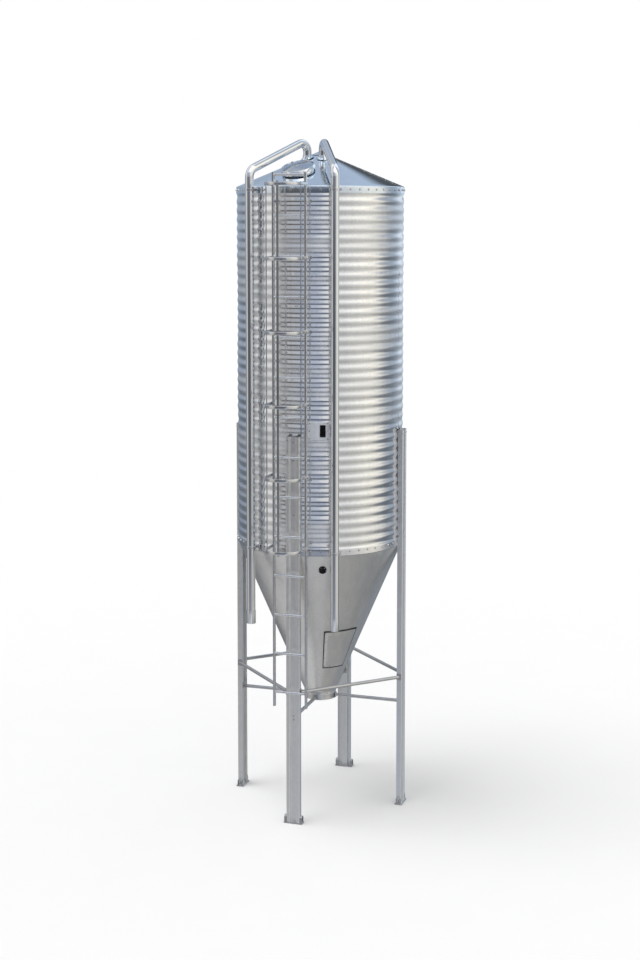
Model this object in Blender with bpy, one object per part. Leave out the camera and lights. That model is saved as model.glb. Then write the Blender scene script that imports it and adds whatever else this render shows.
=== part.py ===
# Grain silo: a corrugated steel bin with a hopper bottom on four legs.
#
# Frame: metres, +Z up, floor at Z = 0. The ladder and its cage stand on the -Y side.
# The origin lies on the floor under the middle of the whole object, so the axis of the
# bin is a little behind it, at SILO_Y. Azimuths run from -Y towards +X, in degrees.

import math

import bmesh
import bpy
from mathutils import Matrix, Vector

GAP = 0.0003                # clearance between pieces that touch
SEGMENTS = 32               # sides of the bin, the roof and the hopper

WALL_R = 0.976              # crests of the corrugation
VALLEY_R = 0.968
WALL_INNER_R = 0.960
EAVE_Z = 7.280
WALL_BASE_Z = 3.120
FIRST_CREST_Z = 7.113
CREST_PITCH = 0.10374
CRESTS_PER_RING = 8
RINGS = 5
TOP_BAND = 0.070            # flat band that the roof skirt laps
BASE_BAND = 0.080           # flat band bolted to the hopper

ROOF_SLOPE = 0.42           # rise over run
SKIRT_DEPTH = 0.080
SKIRT_THICKNESS = 0.004
EAVE_LIFT = 0.005

MANHOLE_AZIMUTH = -8.4
MANHOLE_RADIUS = 0.561      # distance of its centre from the axis
NECK_R = 0.176
NECK_WALL = 0.006
NECK_HEIGHT = 0.040
NECK_BELOW = 0.025
LID_R = 0.200
LID_THICKNESS = 0.016
LID_SKIRT = 0.024

HOPPER_TOP_R = 0.9755
HOPPER_TOP_Z = WALL_BASE_Z - GAP
HOPPER_R = 0.190
HOPPER_Z = 1.300
HOPPER_SHEET = 0.008
COLLAR_Z = 1.205
COLLAR_WALL = 0.018

HATCH_AZIMUTHS = (22.0, 68.6)
HATCH_Z = (1.638, 2.138)
HATCH_SEAL = 0.016
HATCH_THICKNESS = 0.007

PLATE_AZIMUTHS = (9.5, 23.6)
PLATE_Z = (4.445, 4.648)
WINDOW_AZIMUTHS = (17.5, 21.2)
WINDOW_Z = (4.479, 4.615)
GLASS_AZIMUTH = 19.4
GLASS_Z = 2.944
GLASS_R = 0.045

LEG_TOP_Z = 4.480
LEG_HALF = 0.080
LEG_OUTER = 1.032
LEG_INNER = 0.9689
LEG_WEB = 0.998
LEG_WEB_HALF = 0.040
LEG_SHEET = 0.004
FOOT_HALF = 0.110
FOOT_IN = 0.955
FOOT_OUT = 1.045
FOOT_PLATE = 0.012
LUG_HEIGHT = 0.092

RING_BRACE_Z = 1.545
SPOKE_Z = 1.237
BRACE_DEPTH = 0.040
BRACE_WIDTH = 0.030
BRACE_RADIUS = 1.000

LADDER_Y = 1.120
STILE_X = 0.189
STILE_WIDTH = 0.024
STILE_DEPTH = 0.040
LADDER_BASE_Z = 1.400
LADDER_TOP_Z = 7.430
FIRST_RUNG_Z = 1.565
RUNG_PITCH = 0.449
RUNGS = 14
RUNG_R = 0.014
BRACKET_CRESTS = (0, 6, 14, 22, 30, 37)

CAGE_TURN_Y = 1.320         # where the straight arms of a hoop turn into its half circle
CAGE_FLAT = 0.008
CAGE_HOOP_HEIGHT = 0.036
CAGE_TOP_HOOP_Z = 7.300
CAGE_PITCH = 0.810
HOOPS = 6
STRAP_WIDTH = 0.026
CAGE_END = 0.030            # straps run this far past the end hoops

PIPE_R = 0.050
PIPE_DISTANCE = 1.065
PIPE_BASE_Z = 2.280
PIPE_KNEE_Z = 7.457
PIPE_KNEE_BEND = 0.120
PIPE_TOP_BEND = 0.090
PIPE_DROP = 0.200           # distance from the axis where a pipe enters the roof
PIPE_END_LENGTH = 0.150
FILL_AZIMUTH = -30.6
VENT_AZIMUTH = 26.5
CLAMP_HEIGHT = 0.032
CLAMP_LEVELS = (3.166, 7.240)

CAGE_FRONT = CAGE_TURN_Y + STILE_X + STILE_WIDTH / 2 + GAP + CAGE_FLAT
SILO_Y = (CAGE_FRONT - FOOT_OUT) / 2


def clear_scene():
    for thing in list(bpy.data.objects):
        bpy.data.objects.remove(thing, do_unlink=True)


def make_material(name, colour, roughness, metallic):
    material = bpy.data.materials.new(name)
    material.use_nodes = True
    shader = material.node_tree.nodes["Principled BSDF"]
    shader.inputs["Base Color"].default_value = (*colour, 1.0)
    shader.inputs["Roughness"].default_value = roughness
    shader.inputs["Metallic"].default_value = metallic
    return material


def place(name, mesh, material, parent, turn=0.0, smooth=True):
    thing = bpy.data.objects.new(name, mesh)
    bpy.context.scene.collection.objects.link(thing)
    thing.data.materials.clear()
    thing.data.materials.append(material)
    thing.parent = parent
    thing.rotation_euler = (0.0, 0.0, math.radians(turn))
    if smooth:
        mesh.shade_smooth()
        mesh.set_sharp_from_angle(angle=math.radians(35))
    return thing


def mesh_from(bm, name):
    bmesh.ops.recalc_face_normals(bm, faces=bm.faces)
    mesh = bpy.data.meshes.new(name)
    bm.to_mesh(mesh)
    bm.free()
    return mesh


def polar(radius, azimuth, z):
    angle = math.radians(azimuth)
    return Vector((radius * math.sin(angle), -radius * math.cos(angle), z))


def facet_radius(radius, azimuth):
    """Distance from the axis to a side of the many-sided bin whose corners are at radius."""
    step = 360.0 / SEGMENTS
    off_middle = (azimuth % step) - step / 2
    return radius * math.cos(math.radians(step / 2)) / math.cos(math.radians(off_middle))


def turned(name, profile, closed=True):
    """Turn a profile of (radius, z) round the axis. An open profile starts and ends on it."""
    bm = bmesh.new()
    rows = []
    for radius, z in profile:
        if radius < 1e-6:
            rows.append([bm.verts.new((0.0, 0.0, z))])
        else:
            rows.append([bm.verts.new(polar(radius, 360.0 * k / SEGMENTS, z))
                         for k in range(SEGMENTS)])
    pairs = list(zip(rows, rows[1:]))
    if closed:
        pairs.append((rows[-1], rows[0]))
    for upper, lower in pairs:
        for k in range(SEGMENTS):
            after = (k + 1) % SEGMENTS
            if len(upper) == 1:
                bm.faces.new((upper[0], lower[k], lower[after]))
            elif len(lower) == 1:
                bm.faces.new((upper[after], upper[k], lower[0]))
            else:
                bm.faces.new((upper[after], upper[k], lower[k], lower[after]))
    return mesh_from(bm, name)


def prism(name, outline, low, high):
    """Extrude a closed outline of (x, y) from one height to another."""
    bm = bmesh.new()
    base = [bm.verts.new((x, y, low)) for x, y in outline]
    face = bm.faces.new(base)
    lifted = bmesh.ops.extrude_face_region(bm, geom=[face])
    moved = [item for item in lifted["geom"] if isinstance(item, bmesh.types.BMVert)]
    bmesh.ops.translate(bm, verts=moved, vec=(0.0, 0.0, high - low))
    return mesh_from(bm, name)


def add_box(bm, low, high):
    middle = [(a + b) / 2 for a, b in zip(low, high)]
    size = [b - a for a, b in zip(low, high)]
    matrix = Matrix.Translation(middle) @ Matrix.Diagonal((*size, 1.0))
    bmesh.ops.create_cube(bm, size=1.0, matrix=matrix)


def add_rod(bm, middle, direction, radius, length, sides):
    matrix = Matrix.Translation(middle) @ direction.to_track_quat("Z", "Y").to_matrix().to_4x4()
    bmesh.ops.create_cone(bm, cap_ends=True, segments=sides, radius1=radius, radius2=radius,
                          depth=length, matrix=matrix)


def skin(name, azimuths, heights, radius_at, inner, outer, open_cells=()):
    """A slab that follows the sides of the bin or the hopper, between two offsets."""
    bm = bmesh.new()
    grids = []
    for offset in (inner, outer):
        grid = [[bm.verts.new(polar(facet_radius(radius_at(z), a) + offset, a, z))
                 for a in azimuths] for z in heights]
        grids.append(grid)
    cells = {(i, j) for i in range(len(heights) - 1) for j in range(len(azimuths) - 1)}
    cells -= set(open_cells)
    for i, j in cells:
        for grid in grids:
            bm.faces.new((grid[i][j], grid[i][j + 1], grid[i + 1][j + 1], grid[i + 1][j]))
        sides = (
            ((i - 1, j), (i, j), (i, j + 1)),
            ((i + 1, j), (i + 1, j), (i + 1, j + 1)),
            ((i, j - 1), (i, j), (i + 1, j)),
            ((i, j + 1), (i, j + 1), (i + 1, j + 1)),
        )
        for neighbour, one, two in sides:
            if neighbour not in cells:
                (a, b), (c, d) = one, two
                bm.faces.new((grids[0][a][b], grids[0][c][d], grids[1][c][d], grids[1][a][b]))
    loose = [vert for vert in bm.verts if not vert.link_faces]
    bmesh.ops.delete(bm, geom=loose, context="VERTS")
    return mesh_from(bm, name)


def guide(name, mesh, parent):
    """A shape that only cuts or joins another one."""
    thing = bpy.data.objects.new(name, mesh)
    bpy.context.scene.collection.objects.link(thing)
    thing.parent = parent
    thing.hide_render = True
    thing.display_type = "WIRE"
    return thing


def combine(thing, other, operation):
    modifier = thing.modifiers.new(other.name, "BOOLEAN")
    modifier.operation = operation
    modifier.object = other
    modifier.solver = "EXACT"


def facet_azimuths(start, end):
    """The two edge azimuths and each corner of the bin that lies between them."""
    step = 360.0 / SEGMENTS
    inside = [k * step for k in range(-SEGMENTS, SEGMENTS) if start < k * step < end]
    return [start] + inside + [end]


def rounded_path(corners, bends, steps=7):
    """The corners joined by straight runs, with each inner corner turned on its radius."""
    path = [corners[0]]
    for before, corner, after, bend in zip(corners, corners[1:], corners[2:], bends):
        to_before = (before - corner).normalized()
        to_after = (after - corner).normalized()
        half = to_before.angle(to_after) / 2
        reach = bend / math.tan(half)
        middle = corner + (to_before + to_after).normalized() * (bend / math.sin(half))
        start = corner + to_before * reach - middle
        end = corner + to_after * reach - middle
        sweep = start.angle(end)
        axis = start.cross(end).normalized()
        for k in range(steps + 1):
            path.append(middle + Matrix.Rotation(sweep * k / steps, 3, axis) @ start)
    path.append(corners[-1])
    return path


def pipe_curve(name, path, radius, material, parent):
    curve = bpy.data.curves.new(name, "CURVE")
    curve.dimensions = "3D"
    curve.bevel_depth = radius
    curve.bevel_resolution = 4
    curve.use_fill_caps = True
    spline = curve.splines.new("POLY")
    spline.points.add(len(path) - 1)
    for point, place_at in zip(spline.points, path):
        point.co = (*place_at, 1.0)
    spline.use_smooth = True
    thing = bpy.data.objects.new(name, curve)
    bpy.context.scene.collection.objects.link(thing)
    curve.materials.append(material)
    thing.parent = parent
    return thing


def roof_height(radius):
    """The roof's upper face at a distance from the axis, along a corner of its sides."""
    return EAVE_Z + EAVE_LIFT + ROOF_SLOPE * (WALL_R + GAP + SKIRT_THICKNESS - radius)


def hopper_radius(z):
    share = (z - HOPPER_Z) / (HOPPER_TOP_Z - HOPPER_Z)
    return HOPPER_R + share * (HOPPER_TOP_R - HOPPER_R)


def crest_z(index):
    return FIRST_CREST_Z - index * CREST_PITCH


def wall_profile(ring):
    """Outer face of one sheet ring from top to bottom, then its plain inner face."""
    first = ring * CRESTS_PER_RING
    last = min(first + CRESTS_PER_RING, 38)
    profile = []
    if ring == 0:
        profile.append((WALL_R, EAVE_Z))
        profile.append((WALL_R, EAVE_Z - TOP_BAND))
        profile.append((VALLEY_R, crest_z(-0.5)))
    else:
        profile.append((VALLEY_R, crest_z(first - 0.5) - GAP / 2))
    for index in range(first, last):
        profile.append((WALL_R, crest_z(index)))
        if index < last - 1:
            profile.append((VALLEY_R, crest_z(index + 0.5)))
    if ring == RINGS - 1:
        profile.append((VALLEY_R, crest_z(last - 0.5)))
        profile.append((WALL_R, WALL_BASE_Z + BASE_BAND))
        profile.append((WALL_R, WALL_BASE_Z))
    else:
        profile.append((VALLEY_R, crest_z(last - 0.5) + GAP / 2))
    profile.append((WALL_INNER_R, profile[-1][1]))
    profile.append((WALL_INNER_R, profile[0][1]))
    return profile


def build_bin(axis, steel):
    for ring in range(RINGS):
        name = f"wall_ring_{ring + 1}"
        place(name, turned(name, wall_profile(ring)), steel, axis)


def manhole_frame():
    """Centre of the manhole on the roof, and the roof's outward direction there."""
    centre = polar(MANHOLE_RADIUS, MANHOLE_AZIMUTH, roof_height(MANHOLE_RADIUS))
    outward = polar(ROOF_SLOPE, MANHOLE_AZIMUTH, 1.0).normalized()
    return centre, outward


def tilted_ring(name, centre, outward, profile, sides=24):
    """A short turned piece whose own axis leans with the roof. Its profile is closed."""
    bm = bmesh.new()
    rows = []
    for radius, height in profile:
        rows.append([bm.verts.new((radius * math.cos(math.tau * k / sides),
                                   radius * math.sin(math.tau * k / sides), height))
                     for k in range(sides)])
    for upper, lower in zip(rows, rows[1:] + rows[:1]):
        for k in range(sides):
            after = (k + 1) % sides
            bm.faces.new((upper[k], upper[after], lower[after], lower[k]))
    turn = outward.to_track_quat("Z", "Y").to_matrix().to_4x4()
    bmesh.ops.transform(bm, matrix=Matrix.Translation(centre) @ turn, verts=bm.verts)
    return mesh_from(bm, name)


def build_roof(axis, steel, lid_steel):
    edge = WALL_R + GAP
    low_apex = EAVE_Z + GAP + ROOF_SLOPE * edge
    profile = [
        (0.0, roof_height(0.0)),
        (edge + SKIRT_THICKNESS, EAVE_Z + EAVE_LIFT),
        (edge + SKIRT_THICKNESS, EAVE_Z - SKIRT_DEPTH),
        (edge, EAVE_Z - SKIRT_DEPTH),
        (edge, EAVE_Z + GAP),
        (0.0, low_apex),
    ]
    roof = place("roof", turned("roof", profile, closed=False), steel, axis)

    centre, outward = manhole_frame()
    cutter = bmesh.new()
    turn = outward.to_track_quat("Z", "Y").to_matrix().to_4x4()
    bmesh.ops.create_cone(cutter, cap_ends=True, segments=24, radius1=NECK_R + GAP,
                          radius2=NECK_R + GAP, depth=0.3,
                          matrix=Matrix.Translation(centre) @ turn)
    combine(roof, guide("manhole_cut", mesh_from(cutter, "manhole_cut"), axis), "DIFFERENCE")
    for name, azimuth in (("fill_cut", FILL_AZIMUTH), ("vent_cut", VENT_AZIMUTH)):
        cutter = bmesh.new()
        middle = polar(PIPE_DROP, azimuth, roof_height(PIPE_DROP))
        add_rod(cutter, middle, Vector((0.0, 0.0, 1.0)), PIPE_R + 4 * GAP, 0.2, 24)
        combine(roof, guide(name, mesh_from(cutter, name), axis), "DIFFERENCE")

    neck = [(NECK_R - NECK_WALL, NECK_HEIGHT), (NECK_R - NECK_WALL, -NECK_BELOW),
            (NECK_R, -NECK_BELOW), (NECK_R, NECK_HEIGHT)]
    mesh = tilted_ring("manhole_neck", centre, outward, neck)
    place("manhole_neck", mesh, steel, axis)

    lid = bmesh.new()
    seat = NECK_HEIGHT + GAP
    bmesh.ops.create_cone(lid, cap_ends=True, segments=24, radius1=LID_R, radius2=LID_R,
                          depth=LID_THICKNESS + LID_SKIRT,
                          matrix=Matrix.Translation((0, 0, seat + (LID_THICKNESS - LID_SKIRT) / 2)))
    under = min(lid.faces, key=lambda face: face.calc_center_median().z)
    bmesh.ops.inset_region(lid, faces=[under], thickness=LID_R - NECK_R - 0.003,
                           use_even_offset=True)
    pushed = bmesh.ops.extrude_face_region(lid, geom=[under])
    lifted = [item for item in pushed["geom"] if isinstance(item, bmesh.types.BMVert)]
    bmesh.ops.translate(lid, verts=lifted, vec=(0.0, 0.0, LID_SKIRT))
    bmesh.ops.delete(lid, geom=[under], context="FACES_ONLY")
    bmesh.ops.transform(lid, matrix=Matrix.Translation(centre) @ turn, verts=lid.verts)
    place("manhole_lid", mesh_from(lid, "manhole_lid"), lid_steel, axis)


def build_hopper(axis, steel, rubber, black):
    inner_top = WALL_INNER_R - GAP
    sheet = HOPPER_SHEET
    profile = [
        (inner_top, WALL_BASE_Z + BASE_BAND),
        (inner_top, HOPPER_TOP_Z),
        (HOPPER_TOP_R, HOPPER_TOP_Z),
        (HOPPER_R, HOPPER_Z),
        (HOPPER_R - sheet, HOPPER_Z),
        (inner_top - sheet, HOPPER_TOP_Z - 0.010),
        (inner_top - sheet, WALL_BASE_Z + BASE_BAND),
    ]
    place("hopper", turned("hopper", profile), steel, axis)
    collar = [
        (HOPPER_R, HOPPER_Z - GAP),
        (HOPPER_R, COLLAR_Z),
        (HOPPER_R - COLLAR_WALL, COLLAR_Z),
        (HOPPER_R - COLLAR_WALL, HOPPER_Z - GAP),
    ]
    place("outlet_collar", turned("outlet_collar", collar), steel, axis)

    step = 0.05
    first, last = HATCH_AZIMUTHS
    low, high = HATCH_Z
    rim = math.degrees(HATCH_SEAL / hopper_radius((low + high) / 2))
    lift = 0.0005
    azimuths = facet_azimuths(first + rim + step, last - rim - step)
    mesh = skin("hatch_panel", azimuths, [low + HATCH_SEAL + GAP, high - HATCH_SEAL - GAP],
                hopper_radius, lift, HATCH_THICKNESS)
    place("hatch_panel", mesh, steel, axis)
    azimuths = sorted(facet_azimuths(first, last) + [first + rim, last - rim])
    inside = [j for j in range(len(azimuths) - 1)
              if azimuths[j] >= first + rim and azimuths[j + 1] <= last - rim]
    openings = [(1, j) for j in inside]
    mesh = skin("hatch_seal", azimuths, [low, low + HATCH_SEAL, high - HATCH_SEAL, high],
                hopper_radius, lift, HATCH_THICKNESS - 0.001, openings)
    place("hatch_seal", mesh, rubber, axis)

    glass = bmesh.new()
    middle_azimuth = 360.0 / SEGMENTS * (int(GLASS_AZIMUTH * SEGMENTS / 360.0) + 0.5)
    slope = (HOPPER_TOP_R - HOPPER_R) / (HOPPER_TOP_Z - HOPPER_Z)
    outward = polar(1.0, middle_azimuth, -slope * math.cos(math.pi / SEGMENTS)).normalized()
    seat = polar(facet_radius(hopper_radius(GLASS_Z), GLASS_AZIMUTH), GLASS_AZIMUTH, GLASS_Z)
    add_rod(glass, seat + outward * (0.008 + GAP), outward, GLASS_R, 0.016, 24)
    place("sight_glass", mesh_from(glass, "sight_glass"), black, axis)


def build_level_window(axis, steel, black):
    def wall_radius(_):
        return WALL_R

    mesh = skin("level_plate", facet_azimuths(*PLATE_AZIMUTHS), list(PLATE_Z), wall_radius,
                0.0004, 0.005)
    place("level_plate", mesh, steel, axis)
    mesh = skin("level_window", facet_azimuths(*WINDOW_AZIMUTHS), list(WINDOW_Z), wall_radius,
                0.0054, 0.017)
    place("level_window", mesh, black, axis)


def leg_section():
    """Outline of the folded leg profile for a leg on the -Y side."""
    def side(sign, grow):
        half = LEG_HALF - grow
        lip = LEG_WEB_HALF + grow
        return [
            (sign * half, -LEG_INNER),
            (sign * half, -LEG_OUTER + grow),
            (sign * lip, -LEG_OUTER + grow),
            (sign * (lip - 0.006), -LEG_WEB + grow),
        ]

    outer = side(-1, 0.0) + list(reversed(side(1, 0.0)))
    inner = side(1, LEG_SHEET) + list(reversed(side(-1, LEG_SHEET)))
    return outer + inner


def build_leg(position, turn, axis, steel):
    low = FOOT_PLATE + GAP
    mesh = prism(f"leg_{position}", leg_section(), low, LEG_TOP_Z)
    place(f"leg_{position}", mesh, steel, axis, turn, smooth=False)

    plate = bmesh.new()
    add_box(plate, (-FOOT_HALF, -FOOT_OUT, 0.0), (FOOT_HALF, -FOOT_IN, FOOT_PLATE))
    foot = place(f"foot_{position}", mesh_from(plate, f"foot_{position}"), steel, axis, turn,
                 smooth=False)
    lugs = bmesh.new()
    middle_y = -(LEG_OUTER + LEG_INNER) / 2
    for sign in (-1, 1):
        near = sign * (LEG_HALF + GAP)
        far = sign * (FOOT_HALF - 0.002)
        straight = LUG_HEIGHT - 0.030
        outline = [(middle_y - 0.030, 0.006), (middle_y - 0.030, straight)]
        outline += [(middle_y - 0.030 * math.cos(math.pi * k / 8),
                     straight + 0.030 * math.sin(math.pi * k / 8)) for k in range(1, 8)]
        outline += [(middle_y + 0.030, straight), (middle_y + 0.030, 0.006)]
        face = lugs.faces.new([lugs.verts.new((near, y, z)) for y, z in outline])
        grown = bmesh.ops.extrude_face_region(lugs, geom=[face])
        moved = [item for item in grown["geom"] if isinstance(item, bmesh.types.BMVert)]
        bmesh.ops.translate(lugs, verts=moved, vec=(far - near, 0.0, 0.0))
    lug_guide = guide(f"lugs_{position}", mesh_from(lugs, f"lugs_{position}"), axis)
    lug_guide.rotation_euler = (0.0, 0.0, math.radians(turn))
    combine(foot, lug_guide, "UNION")


def build_braces(axis, steel, names):
    half = BRACE_WIDTH * math.sqrt(0.5)
    edge = LEG_HALF + GAP
    outline = [(edge, -BRACE_RADIUS - half), (BRACE_RADIUS + half, -edge),
               (BRACE_RADIUS - half, -edge), (edge, -BRACE_RADIUS + half)]
    for index, (position, following) in enumerate(zip(names, names[1:] + names[:1])):
        name = f"ring_brace_{position}_{following}"
        mesh = prism(name, outline, RING_BRACE_Z - BRACE_DEPTH / 2, RING_BRACE_Z + BRACE_DEPTH / 2)
        place(name, mesh, steel, axis, 90.0 * index, smooth=False)
    inner = HOPPER_R + GAP
    outer = LEG_WEB - LEG_SHEET - GAP
    for index, position in enumerate(names):
        bm = bmesh.new()
        add_box(bm, (-BRACE_WIDTH / 2, -outer, SPOKE_Z - BRACE_DEPTH / 2),
                (BRACE_WIDTH / 2, -inner, SPOKE_Z + BRACE_DEPTH / 2))
        name = f"outlet_brace_{position}"
        place(name, mesh_from(bm, name), steel, axis, 90.0 * index, smooth=False)


def build_ladder(axis, steel):
    parts = (
        ("ladder_lower", LADDER_BASE_Z, None, range(0, 7), (22, 30, 37)),
        ("ladder_upper", None, LADDER_TOP_Z, range(7, RUNGS), (0, 6, 14)),
    )
    joint_z = FIRST_RUNG_Z + RUNG_PITCH * 6.5
    arm_half = 0.006
    wall_y = WALL_R - (STILE_X - arm_half) * math.tan(math.pi / SEGMENTS) + GAP
    for name, low, high, rungs, brackets in parts:
        low = joint_z + GAP / 2 if low is None else low
        high = joint_z - GAP / 2 if high is None else high
        stiles = bmesh.new()
        links = bmesh.new()
        for sign in (-1, 1):
            x = sign * STILE_X
            add_box(stiles, (x - STILE_WIDTH / 2, -LADDER_Y - STILE_DEPTH / 2, low),
                    (x + STILE_WIDTH / 2, -LADDER_Y + STILE_DEPTH / 2, high))
            for crest in brackets:
                if low < crest_z(crest) < high:
                    add_box(links, (x - arm_half, -LADDER_Y, crest_z(crest) - 0.016),
                            (x + arm_half, -wall_y, crest_z(crest) + 0.016))
        for index in rungs:
            middle = Vector((0.0, -LADDER_Y, FIRST_RUNG_Z + RUNG_PITCH * index))
            add_rod(links, middle, Vector((1.0, 0.0, 0.0)), RUNG_R, 2 * STILE_X, 8)
        ladder = place(name, mesh_from(stiles, name), steel, axis, smooth=False)
        combine(ladder, guide(f"{name}_links", mesh_from(links, f"{name}_links"), axis), "UNION")


def build_cage(axis, steel):
    inside = STILE_X + STILE_WIDTH / 2 + GAP
    outside = inside + CAGE_FLAT
    start_y = LADDER_Y - STILE_DEPTH / 2
    bends = 8

    def hoop_outline():
        turns = [math.pi * k / bends for k in range(bends + 1)]
        outer = [(outside * math.cos(a), -CAGE_TURN_Y - outside * math.sin(a)) for a in turns]
        inner = [(inside * math.cos(a), -CAGE_TURN_Y - inside * math.sin(a)) for a in turns]
        loop = [(outside, -start_y)] + outer + [(-outside, -start_y), (-inside, -start_y)]
        return loop + list(reversed(inner)) + [(inside, -start_y)]

    middle_z = CAGE_TOP_HOOP_Z - CAGE_PITCH * (HOOPS - 1) / 2
    parts = (("cage_upper", 0, middle_z + GAP / 2, CAGE_TOP_HOOP_Z + CAGE_END),
             ("cage_lower", HOOPS // 2, CAGE_TOP_HOOP_Z - CAGE_PITCH * (HOOPS - 1) - CAGE_END,
              middle_z - GAP / 2))
    for name, first, low, high in parts:
        straps = bmesh.new()
        sink = 0.003
        for sign in (-1, 1):
            one = sign * (inside - CAGE_FLAT + sink)
            two = sign * (inside + sink)
            add_box(straps, (min(one, two), -CAGE_TURN_Y - STRAP_WIDTH / 2, low),
                    (max(one, two), -CAGE_TURN_Y + STRAP_WIDTH / 2, high))
        front = CAGE_TURN_Y + inside * math.cos(math.pi / bends / 2)
        add_box(straps, (-STRAP_WIDTH / 2, -CAGE_TURN_Y - inside - sink, low),
                (STRAP_WIDTH / 2, -front + CAGE_FLAT - sink, high))
        cage = place(name, mesh_from(straps, name), steel, axis, smooth=False)
        hoops = bmesh.new()
        for index in range(first, first + HOOPS // 2):
            z = CAGE_TOP_HOOP_Z - CAGE_PITCH * index
            face = hoops.faces.new([hoops.verts.new((x, y, z - CAGE_HOOP_HEIGHT / 2))
                                    for x, y in hoop_outline()])
            grown = bmesh.ops.extrude_face_region(hoops, geom=[face])
            moved = [item for item in grown["geom"] if isinstance(item, bmesh.types.BMVert)]
            bmesh.ops.translate(hoops, verts=moved, vec=(0.0, 0.0, CAGE_HOOP_HEIGHT))
        combine(cage, guide(f"{name}_hoops", mesh_from(hoops, f"{name}_hoops"), axis), "UNION")


def build_pipe(label, azimuth, axis, steel, clamp_steel):
    top_z = PIPE_KNEE_Z + ROOF_SLOPE * (PIPE_DISTANCE - PIPE_DROP)
    corners = [
        polar(PIPE_DISTANCE, azimuth, PIPE_BASE_Z + PIPE_END_LENGTH + GAP),
        polar(PIPE_DISTANCE, azimuth, PIPE_KNEE_Z),
        polar(PIPE_DROP, azimuth, top_z),
        polar(PIPE_DROP, azimuth, roof_height(PIPE_DROP) - 0.060),
    ]
    path = rounded_path(corners, (PIPE_KNEE_BEND, PIPE_TOP_BEND))
    pipe_curve(f"{label}_pipe", path, PIPE_R, steel, axis)

    end_profile = [(PIPE_R + 0.002, PIPE_END_LENGTH), (PIPE_R + 0.002, 0.0),
                   (PIPE_R - 0.005, 0.0), (PIPE_R - 0.005, PIPE_END_LENGTH)]
    mesh = tilted_ring(f"{label}_pipe_end", polar(PIPE_DISTANCE, azimuth, PIPE_BASE_Z),
                       Vector((0.0, 0.0, 1.0)), end_profile, sides=16)
    place(f"{label}_pipe_end", mesh, steel, axis)

    for level, z in zip(("low", "high"), CLAMP_LEVELS):
        name = f"{label}_clamp_{level}"
        wall = WALL_R if level == "low" else WALL_R + GAP + SKIRT_THICKNESS
        wall = facet_radius(wall, azimuth) + 2 * GAP
        band = (PIPE_R + GAP) / math.cos(math.pi / 16)
        ring = [(band + 0.006, CLAMP_HEIGHT / 2), (band + 0.006, -CLAMP_HEIGHT / 2),
                (band, -CLAMP_HEIGHT / 2), (band, CLAMP_HEIGHT / 2)]
        mesh = tilted_ring(name, Vector((0.0, -PIPE_DISTANCE, z)), Vector((0.0, 0.0, 1.0)), ring,
                           sides=16)
        clamp = place(name, mesh, clamp_steel, axis, azimuth)
        arm = bmesh.new()
        add_box(arm, (-0.012, -PIPE_DISTANCE + band + 0.002, z - CLAMP_HEIGHT / 2 + 0.002),
                (0.012, -wall, z + CLAMP_HEIGHT / 2 - 0.002))
        arm_guide = guide(f"{name}_arm", mesh_from(arm, f"{name}_arm"), axis)
        arm_guide.rotation_euler = (0.0, 0.0, math.radians(azimuth))
        combine(clamp, arm_guide, "UNION")


def build():
    clear_scene()
    sheet = make_material("galvanised_sheet", (0.66, 0.68, 0.70), 0.30, 1.0)
    roof_sheet = make_material("galvanised_roof_sheet", (0.50, 0.56, 0.63), 0.34, 1.0)
    hopper_sheet = make_material("galvanised_hopper_sheet", (0.52, 0.52, 0.51), 0.42, 1.0)
    leg_steel = make_material("galvanised_profile", (0.50, 0.51, 0.52), 0.45, 1.0)
    ladder_steel = make_material("galvanised_bar", (0.62, 0.64, 0.66), 0.38, 1.0)
    pipe_steel = make_material("bright_pipe", (0.72, 0.73, 0.74), 0.18, 1.0)
    rubber = make_material("black_rubber", (0.06, 0.06, 0.065), 0.75, 0.0)
    black = make_material("black_glass", (0.010, 0.010, 0.011), 0.25, 0.0)

    axis = bpy.data.objects.new("silo_axis", None)
    bpy.context.scene.collection.objects.link(axis)
    axis.location = (0.0, SILO_Y, 0.0)

    build_bin(axis, sheet)
    build_roof(axis, roof_sheet, sheet)
    build_hopper(axis, hopper_sheet, rubber, black)
    build_level_window(axis, sheet, black)
    names = ["front", "right", "back", "left"]
    for index, position in enumerate(names):
        build_leg(position, 90.0 * index, axis, leg_steel)
    build_braces(axis, leg_steel, names)
    build_ladder(axis, ladder_steel)
    build_cage(axis, ladder_steel)
    build_pipe("fill", FILL_AZIMUTH, axis, pipe_steel, ladder_steel)
    build_pipe("vent", VENT_AZIMUTH, axis, pipe_steel, ladder_steel)
    bpy.context.view_layer.update()


build()
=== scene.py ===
# Grain silo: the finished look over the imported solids.
#
# Metres, +Z up, in the frame of the solids. Pieces are worked out round the axis of the bin
# and moved to it when they are done. Azimuths run from -Y towards +X, in degrees.

import math

import bmesh
import bpy
from mathutils import Matrix, Vector


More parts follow.
